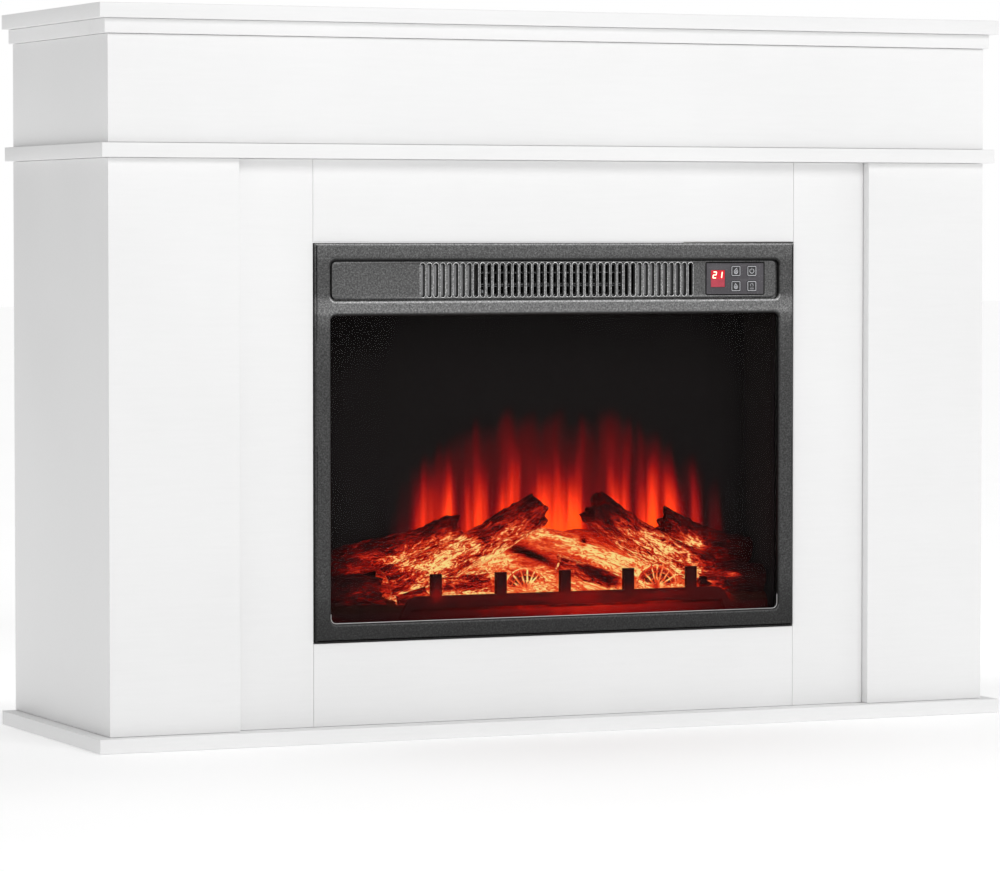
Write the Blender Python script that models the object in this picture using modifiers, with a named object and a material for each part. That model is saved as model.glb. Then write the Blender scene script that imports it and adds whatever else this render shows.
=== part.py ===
"""Electric fireplace: a white board mantel around a 23-inch steel insert with a fan heater and a lit log set.

Metres, +Z up. The front faces -Y and the origin is the middle of the footprint, on the floor.
"""
from math import cos, pi, sin

import bmesh
import bpy
from mathutils import Matrix, Vector

# Driving dimensions of the mantel
BOARD = 0.016
HEIGHT = 0.800
BODY_WIDTH = 1.066
FRONT_Y = -0.156
BACK_Y = 0.170
TOP_OVERHANG = 0.013
CORNICE_OVERHANG = 0.005
SHELF_OVERHANG = 0.010
BASE_OVERHANG_FRONT = 0.014
BASE_OVERHANG_SIDE = 0.016
FRIEZE_HEIGHT = 0.116
CORNICE_STRIP = 0.050
PILASTER_WIDTH = 0.149
RECESS = 0.0126
OPENING_HALF = 0.294
APRON_TOP = 0.1070
HEADER_BOTTOM = 0.5455
UPRIGHT_OFFSET = 0.006
RAIL_HEIGHT = 0.080
GAP = 0.0003
BOARD_EASE = 0.0008
FRAME_EASE = 0.0015
CUT_PAST = 0.01

# Driving dimensions of the insert
FRAME_HALF = 0.2932
FRAME_BOTTOM = 0.1077
FRAME_TOP = 0.5448
FRAME_FRONT = -0.1465
FRAME_FACE = 0.008
FRAME_DEPTH = 0.0125
FRAME_WALL = 0.003
WINDOW_HALF = 0.2740
WINDOW_BOTTOM = 0.1280
WINDOW_TOP = 0.4650
CHANNEL_HALF = 0.2745
CHANNEL_BOTTOM = 0.4815
CHANNEL_TOP = 0.5250
CORNER_RADIUS = 0.0065
GLASS = 0.0040
GLASS_HALF = 0.2800
GLASS_BOTTOM = 0.1230
GLASS_TOP_GAP = 0.0015
CASING_HALF = 0.2760
CASING_FRONT = -0.1335
CASING_BACK = 0.0450
CASING_BOTTOM = 0.1106
CASING_TOP = 0.5400
SHEET = 0.0012
DIVIDER_Z = 0.4745
DIVIDER_BACK_GAP = 0.002
SCREEN_Y = -0.0560

# Grille plate, slots and control panel
PLATE_HALF = 0.2715
PLATE_BOTTOM = 0.4828
PLATE_TOP = 0.5240
PLATE_FRONT = -0.1425
PLATE_FACE = 0.0015
PLATE_WALL = 0.0015
PLATE_CORNER = 0.0055
FLANGE = 0.0012
PLATE_RIM_HALF = 0.2850
PLATE_RIM_LEVELS = (0.4766, 0.5300)
SLOT_COUNT = 42
SLOT_PITCH = 0.0080
SLOT_WIDTH = 0.0056
SLOT_HEIGHT = 0.0378
SLOT_CENTRE_Z = 0.5034
SLOT_END_FLAT = 0.00005
SLOT_CUT_FRONT = 0.0020
SLOT_CUT_DEPTH = 0.0045
OUTLET_SIDES = (-0.1740, 0.1592)
OUTLET_SETBACK = 0.0035
OUTLET_MARGIN = 0.0025
MOUTH_SIDES = (-0.1040, 0.0960)
MOUTH_LEVELS = (0.4870, 0.5200)
NOTCH_SIDES = (-0.1065, 0.0985)
NOTCH_TOP = 0.4935
FASCIA_CENTRE = (0.2200, 0.5040)
FASCIA_SIZE = (0.0720, 0.0350)
FASCIA_PROUD = 0.0003
FASCIA_SIDE_FLANGE = 0.004
DISPLAY_CENTRE = (0.1984, 0.5040)
DISPLAY_SIZE = (0.0176, 0.0190)
BUTTON_SIZE = 0.0116
BUTTON_SPACING = (0.0202, 0.0172)
BUTTONS_CENTRE = (0.2309, 0.5040)
BUTTON_TRAVEL = 0.0006
BUTTON_PROUD = 0.0004
BUTTON_CORNER = 0.0015
BUTTON_HOLE_CORNER = 0.0018
CONTROL_BOARD = 0.0016
CONTROL_BOARD_HALF = 0.0175
SWITCH_ROOM = 0.0022
SWITCH_HEIGHT = 0.0018
SWITCH_HALF = 0.003
SWITCH_ROOT = 0.001

# Rear cover: vent slots and the gland of the supply cord
VENT_COLUMNS = 8
VENT_ROWS = 2
VENT_FIRST = (-0.1400, 0.4950)
VENT_PITCH = (0.0400, 0.0180)
VENT_HALF = (0.0140, 0.0025)
GLAND_CENTRE = (0.2200, 0.1500)
GLAND_RADIUS = 0.0080
GLAND_INSIDE = 0.006
GLAND_OUTSIDE = 0.012
GLAND_COLLAR_RADIUS = 0.0125
GLAND_COLLAR_END = 0.0055
GLAND_BORE = 0.0036
GLAND_BORE_PAST = 0.02

# Blower and flame rotor axes, both along X
FAN_AXIS = (-0.0400, 0.5060)
FAN_RADIUS = 0.0180
FAN_HALF = 0.0850
BLADE_COUNT = 12
VANE_HALF = 0.0004
FAN_HUB = 0.0080
FAN_END_GAP = 0.008
FAN_BLADE_GAP = 0.010
FAN_DISC = 0.001
FAN_DISC_PROUD = 0.0005
FAN_MIDDLE_DISCS = (-0.028, 0.028)
FAN_SHAFT = 0.0025
FAN_SHAFT_IN = 0.004
FAN_SHAFT_OUT = 0.016
FAN_MOTOR_RADIUS = 0.0200
FAN_MOTOR_ENDS = (0.008, 0.038)
FAN_MOTOR_BORE = 0.0031
FAN_MOTOR_BORE_END = 0.020
FAN_FOOT_ENDS = (0.012, 0.034)
FAN_FOOT_HALF = 0.022
FAN_FOOT_BELOW_AXIS = 0.015
DUCT = (-0.0985, 0.0920)
HOUSING_FRONT = -0.1320
HOUSING_TOP = 0.5360
HOUSING_WALL = 0.0010
HOUSING_CLEARANCE = 0.0060
INLET_MARGIN = 0.006
INLET_TOP_MARGIN = 0.012
SHAFT_HOLE = 0.0045
HEATER_FRONT = -0.1260
HEATER_BACK = -0.1000
HEATER_POST = 0.006
HEATER_MARGIN = 0.004
HEATER_BAR = 0.0012
HEATER_BAR_INSET = 0.002
HEATER_BAR_LEVELS = (0.4870, 0.4990, 0.5120, 0.5240)
CUTOUT_PLACE = (0.0400, -0.0850)
CUTOUT_RADIUS = 0.0075
ROTOR_AXIS = (-0.0150, 0.1900)
ROTOR_RADIUS = 0.0180
ROTOR_ENDS = (-0.2150, 0.2050)
ROTOR_VANES = 3
ROTOR_SHAFT = 0.0020
ROTOR_SHAFT_REACH = 0.014
BRACKET_ENDS = (0.012, 0.009)
BRACKET_HALF = 0.010
BRACKET_FOOT_ENDS = (0.030, 0.010)
BRACKET_FOOT = 0.002
BRACKET_BORE = 0.0021
ROTOR_MOTOR_RADIUS = 0.0160
ROTOR_MOTOR_ENDS = (0.007, 0.030)
ROTOR_MOTOR_BORE = 0.0025
ROTOR_MOTOR_BORE_END = 0.018
ROTOR_STAND_ENDS = (0.010, 0.024)
ROTOR_STAND_HALF = 0.012

# Lamp boards
FLAME_LAMPS_HALF = 0.2200
FLAME_LAMPS_Y = (-0.0480, -0.0420)
FLAME_LAMPS_TOP = 0.1480
EMBER_LAMPS_HALF = 0.2400
EMBER_LAMPS_Y = (-0.0960, -0.0840)
EMBER_LAMPS_HEIGHT = 0.0020

# Log set
BED_FRONT = -0.1220
BED_TOP = 0.1480
BED_SIDE_GAP = 0.002
BED_LEDGE = 0.014
BED_LEDGE_LAP = 0.002
BED_LEDGE_TOP = 0.1360
BED_WALL = 0.003
SCREEN = 0.002
SCREEN_GAP = 0.001
GRATE_POSTS = 5
GRATE_FIRST = -0.1420
GRATE_PITCH = 0.0786
GRATE_POST = 0.0130
GRATE_Y = -0.1270
GRATE_HALF = 0.003
GRATE_BAR = (0.1400, 0.1540)
GRATE_BAR_PAST = (0.040, 0.048)
GRATE_POST_LEVELS = (0.1450, 0.1780)
GRATE_FOOT = 0.014
GRATE_FOOT_PAST = (0.050, 0.044)
GRATE_FOOT_TOP = 0.1500
THICK_LOG = 0.0165
THIN_LOG = 0.0135
LOW_LOG = 0.0140

# Derived levels and lines
BODY_HALF = BODY_WIDTH / 2
CORNICE_BOTTOM = HEIGHT - 2 * BOARD
FRIEZE_BOTTOM = CORNICE_BOTTOM - FRIEZE_HEIGHT
SHELF_BOTTOM = FRIEZE_BOTTOM - BOARD
RECESS_Y = FRONT_Y + RECESS
PILASTER_EDGE = BODY_HALF - PILASTER_WIDTH
PANEL_BACK = RECESS_Y + BOARD
UPRIGHT_INNER = OPENING_HALF + UPRIGHT_OFFSET
FRAME_FACE_BACK = FRAME_FRONT + FRAME_FACE
CASING_FLOOR = CASING_BOTTOM + SHEET + GAP
CASING_CEILING = CASING_TOP - SHEET - GAP
DIVIDER_TOP = DIVIDER_Z + SHEET + GAP

parts = bpy.data.collections.new("electric_fireplace")
cutters = bpy.data.collections.new("cutters")
materials = {}

FINISHES = {
    "white_board": ((0.86, 0.86, 0.86), 0.45, 0.0),
    "raw_board": ((0.72, 0.70, 0.66), 0.7, 0.0),
    "charcoal_steel": ((0.085, 0.085, 0.088), 0.55, 0.3),
    "plain_steel": ((0.45, 0.46, 0.47), 0.4, 0.9),
    "black_plastic": ((0.03, 0.03, 0.035), 0.35, 0.0),
    "clear_glass": ((0.6, 0.62, 0.65), 0.05, 0.0),
    "flame_acrylic": ((0.16, 0.03, 0.01), 0.4, 0.0),
    "red_display": ((0.45, 0.02, 0.04), 0.2, 0.0),
    "ember_resin": ((0.60, 0.12, 0.02), 0.6, 0.0),
    "log_resin": ((0.12, 0.03, 0.02), 0.8, 0.0),
    "grate_paint": ((0.06, 0.01, 0.01), 0.6, 0.0),
    "circuit_board": ((0.02, 0.16, 0.07), 0.5, 0.0),
    "mica": ((0.55, 0.50, 0.42), 0.6, 0.0),
    "mirror_foil": ((0.80, 0.80, 0.82), 0.15, 1.0),
}


def clear_scene():
    for ob in list(bpy.data.objects):
        bpy.data.objects.remove(ob, do_unlink=True)
    bpy.context.scene.collection.children.link(parts)
    bpy.context.scene.collection.children.link(cutters)


def own_material(name, finish):
    colour, roughness, metallic = FINISHES[finish]
    material = bpy.data.materials.new(name + "_material")
    material.use_nodes = True
    shader = material.node_tree.nodes["Principled BSDF"]
    shader.inputs["Base Color"].default_value = (*colour, 1.0)
    shader.inputs["Roughness"].default_value = roughness
    shader.inputs["Metallic"].default_value = metallic
    return material


def add(name, mesh, finish=None, at=(0, 0, 0)):
    """Links a mesh as a part, or as a cutter if it has no finish."""
    ob = bpy.data.objects.new(name, mesh)
    ob.location = at
    if finish is None:
        cutters.objects.link(ob)
        ob.hide_render = True
        ob.display_type = "WIRE"
    else:
        parts.objects.link(ob)
        mesh.materials.append(own_material(name, finish))
    return ob


def mesh_from(name, bm):
    mesh = bpy.data.meshes.new(name)
    bmesh.ops.recalc_face_normals(bm, faces=bm.faces)
    bm.to_mesh(mesh)
    bm.free()
    return mesh


def box(name, low, high, finish=None, chamfer=0.0):
    """A box between two corners, with an optional chamfer on every edge."""
    low, high = Vector(low), Vector(high)
    bm = bmesh.new()
    bmesh.ops.create_cube(bm, size=1.0, matrix=Matrix.Diagonal((*(high - low), 1.0)))
    ob = add(name, mesh_from(name, bm), finish, (low + high) / 2)
    if chamfer:
        bevel = ob.modifiers.new("chamfer", "BEVEL")
        bevel.width = chamfer
        bevel.segments = 1
    return ob


def cutter(name, low, high, axis=1):
    """A box that cuts, running past both ends of its range along one axis."""
    low, high = Vector(low), Vector(high)
    low[axis] -= CUT_PAST
    high[axis] += CUT_PAST
    return box(name, low, high)


def cylinder(name, start, end, radius, finish=None, sides=24):
    """A closed cylinder from start to end; its origin is at start, on its own axis."""
    start, end = Vector(start), Vector(end)
    run = end - start
    turn = run.to_track_quat("Z", "Y").to_matrix().to_4x4()
    middle = Matrix.Translation(run / 2) @ turn
    bm = bmesh.new()
    bmesh.ops.create_cone(bm, cap_ends=True, segments=sides, radius1=radius, radius2=radius,
                          depth=run.length, matrix=middle)
    mesh = mesh_from(name, bm)
    mesh.shade_smooth()
    mesh.set_sharp_from_angle(angle=0.7)
    return add(name, mesh, finish, start)


def rounded_outline(half_x, low_z, high_z, radius, steps=4):
    """Corner points, in X and Z, of a rectangle with round corners."""
    points = []
    corners = ((half_x, high_z, 0), (-half_x, high_z, 1), (-half_x, low_z, 2), (half_x, low_z, 3))
    for x, z, quarter in corners:
        centre_x = x - radius if x > 0 else x + radius
        centre_z = z - radius if z == high_z else z + radius
        for step in range(steps + 1):
            angle = (quarter + step / steps) * pi / 2
            points.append((centre_x + radius * cos(angle), centre_z + radius * sin(angle)))
    return points


def extrude_outline(name, points, front, back, finish=None, centre_x=0.0):
    """A flat outline in X and Z, drawn out from front to back along Y."""
    bm = bmesh.new()
    face = bm.faces.new([bm.verts.new((x + centre_x, front, z)) for x, z in points])
    drawn = bmesh.ops.extrude_face_region(bm, geom=[face])["geom"]
    moved = [item for item in drawn if isinstance(item, bmesh.types.BMVert)]
    bmesh.ops.translate(bm, verts=moved, vec=(0, back - front, 0))
    return add(name, mesh_from(name, bm), finish)


def rounded_plate(name, half_x, low_z, high_z, radius, front, back, finish=None, centre_x=0.0):
    outline = rounded_outline(half_x, low_z, high_z, radius)
    return extrude_outline(name, outline, front, back, finish, centre_x)


def cut(ob, *tools, operation="DIFFERENCE"):
    for tool in tools:
        modifier = ob.modifiers.new(operation.lower(), "BOOLEAN")
        modifier.operation = operation
        modifier.object = tool
        modifier.solver = "EXACT"


def join(ob, *tools):
    cut(ob, *tools, operation="UNION")


def move_corner(ob, side, new_y, old_y):
    """Pulls one upright edge of a board along Y, which mitres its end."""
    for vertex in ob.data.vertices:
        place = ob.location + vertex.co
        if vertex.co.x * side > 0 and abs(place.y - old_y) < GAP:
            vertex.co.y += new_y - old_y


def mitred_pair(side, name_side, name_front, low_z, high_z, inner_x):
    """A side panel and a front board that meet in a mitre at the front corner."""
    outer, inner = side * BODY_HALF, side * (BODY_HALF - BOARD)
    panel = box(name_side, (min(outer, inner), FRONT_Y + GAP, low_z),
                (max(outer, inner), BACK_Y, high_z), "white_board")
    move_corner(panel, -side, FRONT_Y + BOARD + GAP, FRONT_Y + GAP)
    if name_front is None:
        return
    front = box(name_front, (min(outer, side * inner_x), FRONT_Y, low_z),
                (max(outer, side * inner_x), FRONT_Y + BOARD, high_z), "white_board")
    mitre_end(front, side, outer, inner)


def mitre_end(front, side, outer, inner):
    """Cuts a front board's end back from its outer corner to its inner one."""
    for vertex in front.data.vertices:
        place = front.location + vertex.co
        if abs(place.x - outer) < GAP and vertex.co.y > 0:
            vertex.co.x += inner - outer - side * GAP


def layer(name, overhang_side, overhang_front, low_z, high_z, back=BACK_Y, front_depth=None):
    half = BODY_HALF + overhang_side
    front = FRONT_Y - overhang_front
    end = back if front_depth is None else front + front_depth
    return box(name, (-half, front, low_z), (half, end, high_z), "white_board", chamfer=BOARD_EASE)


def build_mantel_layers():
    layer("base_board", BASE_OVERHANG_SIDE, BASE_OVERHANG_FRONT, 0.0, BOARD - GAP)
    layer("mid_shelf_board", SHELF_OVERHANG, SHELF_OVERHANG, SHELF_BOTTOM, FRIEZE_BOTTOM - GAP)
    layer("top_board", TOP_OVERHANG, TOP_OVERHANG, HEIGHT - BOARD, HEIGHT)
    strip_top = HEIGHT - BOARD - GAP
    layer("cornice_front_strip", CORNICE_OVERHANG, CORNICE_OVERHANG, CORNICE_BOTTOM, strip_top,
          front_depth=CORNICE_STRIP)
    half = BODY_HALF + CORNICE_OVERHANG
    strip_front = FRONT_Y - CORNICE_OVERHANG + CORNICE_STRIP + GAP
    for side, label in ((-1, "left"), (1, "right")):
        ends = sorted((side * half, side * (half - CORNICE_STRIP)))
        box("cornice_side_strip_" + label, (ends[0], strip_front, CORNICE_BOTTOM),
            (ends[1], BACK_Y, strip_top), "white_board", chamfer=BOARD_EASE)


def build_frieze():
    low, high = FRIEZE_BOTTOM, CORNICE_BOTTOM - GAP
    front = box("frieze_front", (-BODY_HALF, FRONT_Y, low), (BODY_HALF, FRONT_Y + BOARD, high), "white_board")
    for side, label in ((-1, "left"), (1, "right")):
        mitred_pair(side, "frieze_side_" + label, None, low, high, 0)
        mitre_end(front, side, side * BODY_HALF, side * (BODY_HALF - BOARD))


def build_lower_body():
    low, high = BOARD, SHELF_BOTTOM - GAP
    for side, label in ((-1, "left"), (1, "right")):
        mitred_pair(side, "side_panel_" + label, "pilaster_" + label, low, high, PILASTER_EDGE)
        ends = sorted((side * OPENING_HALF, side * (PILASTER_EDGE - GAP)))
        box("stile_" + label, (ends[0], RECESS_Y, low), (ends[1], PANEL_BACK, high), "white_board")
        ends = sorted((side * UPRIGHT_INNER, side * (UPRIGHT_INNER + BOARD)))
        box("inner_upright_" + label, (ends[0], PANEL_BACK + GAP, low),
            (ends[1], BACK_Y - BOARD - GAP, high), "raw_board")
    panel_half = OPENING_HALF - GAP
    box("header_panel", (-panel_half, RECESS_Y, HEADER_BOTTOM), (panel_half, PANEL_BACK, high), "white_board")
    box("apron_panel", (-panel_half, RECESS_Y, low), (panel_half, PANEL_BACK, APRON_TOP), "white_board")
    shelf_half = UPRIGHT_INNER - GAP
    shelf_top = CASING_BOTTOM - GAP
    box("insert_shelf", (-shelf_half, PANEL_BACK + GAP, shelf_top - BOARD),
        (shelf_half, BACK_Y - BOARD - GAP, shelf_top), "raw_board")
    rail_half = BODY_HALF - BOARD - GAP
    for label, bottom in (("lower", low), ("upper", high - RAIL_HEIGHT)):
        box("back_rail_" + label, (-rail_half, BACK_Y - BOARD, bottom), (rail_half, BACK_Y, bottom + RAIL_HEIGHT),
            "white_board")


def build_front_frame():
    back = FRAME_FRONT + FRAME_DEPTH
    frame = box("front_frame", (-FRAME_HALF, FRAME_FRONT, FRAME_BOTTOM), (FRAME_HALF, back, FRAME_TOP),
                "charcoal_steel", chamfer=FRAME_EASE)
    inner = FRAME_HALF - FRAME_WALL
    pocket = box("frame_pocket", (-inner, FRAME_FACE_BACK, FRAME_BOTTOM + FRAME_WALL),
                 (inner, back + CUT_PAST, FRAME_TOP - FRAME_WALL))
    reach = (FRAME_FRONT - CUT_PAST, FRAME_FACE_BACK + CUT_PAST)
    window = rounded_plate("frame_window", WINDOW_HALF, WINDOW_BOTTOM, WINDOW_TOP, CORNER_RADIUS, *reach)
    channel = rounded_plate("frame_channel", CHANNEL_HALF, CHANNEL_BOTTOM, CHANNEL_TOP, CORNER_RADIUS, *reach)
    cut(frame, pocket, window, channel)
    glass_front = FRAME_FACE_BACK + GAP
    box("glass_pane", (-GLASS_HALF, glass_front, GLASS_BOTTOM),
        (GLASS_HALF, glass_front + GLASS, DIVIDER_Z - GLASS_TOP_GAP), "clear_glass")


def slot_outline(index):
    """One upright slot with half-round ends, counted from the left."""
    x = (index - (SLOT_COUNT - 1) / 2) * SLOT_PITCH
    half = SLOT_HEIGHT / 2
    outline = rounded_outline(SLOT_WIDTH / 2, SLOT_CENTRE_Z - half, SLOT_CENTRE_Z + half,
                              SLOT_WIDTH / 2 - SLOT_END_FLAT, steps=3)
    return [(px + x, pz) for px, pz in outline]


def slots_mesh():
    """All the slots as one set of cutters."""
    bm = bmesh.new()
    for index in range(SLOT_COUNT):
        points = slot_outline(index)
        face = bm.faces.new([bm.verts.new((x, PLATE_FRONT - SLOT_CUT_FRONT, z)) for x, z in points])
        drawn = bmesh.ops.extrude_face_region(bm, geom=[face])["geom"]
        moved = [item for item in drawn if isinstance(item, bmesh.types.BMVert)]
        bmesh.ops.translate(bm, verts=moved, vec=(0, SLOT_CUT_DEPTH, 0))
    return add("slots", mesh_from("slots", bm))


def build_grille_plate():
    flange_front = FRAME_FACE_BACK + GAP
    flange_back = flange_front + FLANGE
    plate = rounded_plate("grille_plate", PLATE_HALF, PLATE_BOTTOM, PLATE_TOP, PLATE_CORNER,
                          PLATE_FRONT, flange_back, "charcoal_steel")
    rim_bottom, rim_top = PLATE_RIM_LEVELS
    rim = box("plate_rim", (-PLATE_RIM_HALF, flange_front, rim_bottom),
              (PLATE_RIM_HALF, flange_back, rim_top))
    inner = PLATE_HALF - PLATE_WALL
    pocket = box("plate_pocket", (-inner, PLATE_FRONT + PLATE_FACE, PLATE_BOTTOM + PLATE_WALL),
                 (inner, flange_front + CUT_PAST, PLATE_TOP - PLATE_WALL))
    x, z = FASCIA_CENTRE
    wide, high = FASCIA_SIZE[0] / 2 + GAP, FASCIA_SIZE[1] / 2 + GAP
    hole = cutter("fascia_hole", (x - wide, PLATE_FRONT, z - high), (x + wide, PLATE_FRONT, z + high))
    join(plate, rim)
    cut(plate, pocket, slots_mesh(), hole)


def build_outlet_flange():
    """The sheet behind the slots, open at the blower's mouth and notched at its lower corners."""
    front = PLATE_FRONT + OUTLET_SETBACK
    left, right = OUTLET_SIDES
    flange = box("outlet_flange", (left, front, PLATE_BOTTOM + OUTLET_MARGIN),
                 (right, front + SHEET, PLATE_TOP - OUTLET_MARGIN), "plain_steel")
    bottom, top = MOUTH_LEVELS
    mouth = cutter("flange_mouth", (MOUTH_SIDES[0], front, bottom), (MOUTH_SIDES[1], front, top))
    notch = cutter("flange_notch", (NOTCH_SIDES[0], front, bottom), (NOTCH_SIDES[1], front, NOTCH_TOP))
    cut(flange, mouth, notch)


def button_places():
    x, z = BUTTONS_CENTRE
    dx, dz = BUTTON_SPACING[0] / 2, BUTTON_SPACING[1] / 2
    return {"button_flame": (x - dx, z + dz), "button_power": (x + dx, z + dz),
            "button_heat": (x - dx, z - dz), "button_timer": (x + dx, z - dz)}


def build_control_panel():
    x, z = FASCIA_CENTRE
    wide, high = FASCIA_SIZE[0] / 2, FASCIA_SIZE[1] / 2
    full = wide + FASCIA_SIDE_FLANGE
    front = PLATE_FRONT - FASCIA_PROUD
    flange_front = PLATE_FRONT + PLATE_FACE + GAP
    back = flange_front + FLANGE
    fascia = box("control_fascia", (x - wide, front, z - high), (x + wide, back, z + high), "black_plastic")
    flange = box("fascia_flange", (x - full, flange_front, z - high), (x + full, back, z + high))
    join(fascia, flange)
    build_display(fascia, front, back)
    build_buttons(fascia, front, back)
    board_front = back + BUTTON_TRAVEL + SWITCH_ROOM
    board = box("control_board", (x - full, board_front, z - CONTROL_BOARD_HALF),
                (x + full, board_front + CONTROL_BOARD, z + CONTROL_BOARD_HALF), "circuit_board")
    for name, (bx, bz) in button_places().items():
        low = (bx - SWITCH_HALF, board_front - SWITCH_HEIGHT, bz - SWITCH_HALF)
        high = (bx + SWITCH_HALF, board_front + SWITCH_ROOT, bz + SWITCH_HALF)
        join(board, box(name + "_switch", low, high))


def build_display(fascia, front, back):
    x, z = DISPLAY_CENTRE
    half_x, half_z = DISPLAY_SIZE[0] / 2, DISPLAY_SIZE[1] / 2
    hole_x, hole_z = half_x + GAP, half_z + GAP
    cut(fascia, cutter("display_hole", (x - hole_x, front, z - hole_z), (x + hole_x, back, z + hole_z)))
    box("display_window", (x - half_x, front, z - half_z), (x + half_x, back, z + half_z), "red_display")


def build_buttons(fascia, front, back):
    half = BUTTON_SIZE / 2
    hole = half + GAP
    for name, (x, z) in button_places().items():
        outline = rounded_outline(hole, z - hole, z + hole, BUTTON_HOLE_CORNER, steps=3)
        cut(fascia, extrude_outline(name + "_hole", outline, front - CUT_PAST, back + CUT_PAST, centre_x=x))
        outline = rounded_outline(half, z - half, z + half, BUTTON_CORNER, steps=3)
        extrude_outline(name, outline, front - BUTTON_PROUD, back, "black_plastic", centre_x=x)


def build_casing():
    front, back = CASING_FRONT, CASING_BACK
    inner = CASING_HALF - SHEET
    box("casing_bottom", (-CASING_HALF, front, CASING_BOTTOM),
        (CASING_HALF, back, CASING_BOTTOM + SHEET), "plain_steel")
    box("casing_top", (-CASING_HALF, front, CASING_TOP - SHEET),
        (CASING_HALF, back, CASING_TOP), "plain_steel")
    for side, label in ((-1, "left"), (1, "right")):
        ends = sorted((side * CASING_HALF, side * inner))
        box("casing_side_" + label, (ends[0], front, CASING_FLOOR),
            (ends[1], back, CASING_CEILING), "plain_steel")
    half = inner - GAP
    box("divider_shelf", (-half, front, DIVIDER_Z), (half, back - DIVIDER_BACK_GAP, DIVIDER_Z + SHEET),
        "plain_steel")


def build_rear_cover():
    rear = CASING_BACK + GAP
    cover = box("rear_cover", (-CASING_HALF, rear, CASING_BOTTOM), (CASING_HALF, rear + SHEET, CASING_TOP),
                "plain_steel")
    half_x, half_z = VENT_HALF
    for row in range(VENT_ROWS):
        for column in range(VENT_COLUMNS):
            x = VENT_FIRST[0] + column * VENT_PITCH[0]
            z = VENT_FIRST[1] + row * VENT_PITCH[1]
            name = "vent_%d_%d" % (row, column)
            cut(cover, cutter(name, (x - half_x, rear, z - half_z), (x + half_x, rear, z + half_z)))
    x, z = GLAND_CENTRE
    cut(cover, cylinder("gland_hole", (x, rear - CUT_PAST, z), (x, rear + CUT_PAST, z), GLAND_RADIUS + GAP))


def build_cord_gland():
    x, z = GLAND_CENTRE
    rear = CASING_BACK + GAP
    gland = cylinder("cord_gland", (x, rear - GLAND_INSIDE, z), (x, rear + GLAND_OUTSIDE, z), GLAND_RADIUS,
                     "black_plastic")
    collar_front = rear + SHEET + GAP
    collar = cylinder("gland_collar", (x, collar_front, z), (x, rear + GLAND_COLLAR_END, z),
                      GLAND_COLLAR_RADIUS, sides=6)
    join(gland, collar)
    ends = (rear - GLAND_BORE_PAST, rear + GLAND_OUTSIDE + GLAND_BORE_PAST)
    cut(gland, cylinder("gland_bore", (x, ends[0], z), (x, ends[1], z), GLAND_BORE, sides=16))


def turned_vane(name, axis, ends, radius, angle):
    """A thin blade across an axis along X, turned about that axis."""
    y, z = axis
    vane = box(name, (ends[0], y - radius, z - VANE_HALF), (ends[1], y + radius, z + VANE_HALF))
    turn = Matrix.Translation((0, y, z)) @ Matrix.Rotation(angle, 4, "X")
    vane.matrix_world = turn @ Matrix.Translation((0, -y, -z)) @ Matrix.Translation(vane.location)
    return vane


def build_blower_housing():
    y, z = FAN_AXIS
    left, right = DUCT
    back = y + FAN_RADIUS + HOUSING_CLEARANCE
    wall = HOUSING_WALL
    housing = box("blower_housing", (left, HOUSING_FRONT, DIVIDER_TOP),
                  (right, back, HOUSING_TOP), "plain_steel")
    inside = box("housing_inside", (left + wall, HOUSING_FRONT - CUT_PAST, DIVIDER_TOP + wall),
                 (right - wall, back - wall, HOUSING_TOP - wall))
    inlet = cutter("housing_inlet", (left + INLET_MARGIN, back, DIVIDER_TOP + INLET_MARGIN),
                   (right - INLET_MARGIN, back, HOUSING_TOP - INLET_TOP_MARGIN))
    shaft_hole = cylinder("housing_shaft_hole", (right - CUT_PAST, y, z), (right + CUT_PAST, y, z),
                          SHAFT_HOLE, sides=16)
    cut(housing, inside, inlet, shaft_hole)


def build_fan():
    """The cross-flow wheel, with blades between discs on one hub, and the motor that turns it."""
    y, z = FAN_AXIS
    right = DUCT[1]
    wheel = cylinder("fan_wheel", (-FAN_HALF, y, z), (right - FAN_END_GAP, y, z),
                     FAN_HUB, "charcoal_steel", sides=12)
    wheel_end = right - FAN_BLADE_GAP
    for index in range(BLADE_COUNT // 2):
        angle = index * 2 * pi / BLADE_COUNT
        join(wheel, turned_vane("blade_%d" % index, FAN_AXIS, (-FAN_HALF, wheel_end), FAN_RADIUS, angle))
    disc_radius = FAN_RADIUS + FAN_DISC_PROUD
    for index, x in enumerate((-FAN_HALF, *FAN_MIDDLE_DISCS, wheel_end - FAN_DISC)):
        join(wheel, cylinder("fan_disc_%d" % index, (x, y, z), (x + FAN_DISC, y, z), disc_radius))
    join(wheel, cylinder("fan_shaft", (wheel_end - FAN_SHAFT_IN, y, z), (right + FAN_SHAFT_OUT, y, z),
                         FAN_SHAFT, sides=12))
    start, end = (right + reach for reach in FAN_MOTOR_ENDS)
    motor = cylinder("fan_motor", (start, y, z), (end, y, z), FAN_MOTOR_RADIUS, "plain_steel")
    foot_start, foot_end = (right + reach for reach in FAN_FOOT_ENDS)
    join(motor, box("motor_foot", (foot_start, y - FAN_FOOT_HALF, DIVIDER_TOP),
                    (foot_end, y + FAN_FOOT_HALF, z - FAN_FOOT_BELOW_AXIS)))
    cut(motor, cylinder("motor_bore", (right, y, z), (right + FAN_MOTOR_BORE_END, y, z),
                        FAN_MOTOR_BORE, sides=16))


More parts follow.
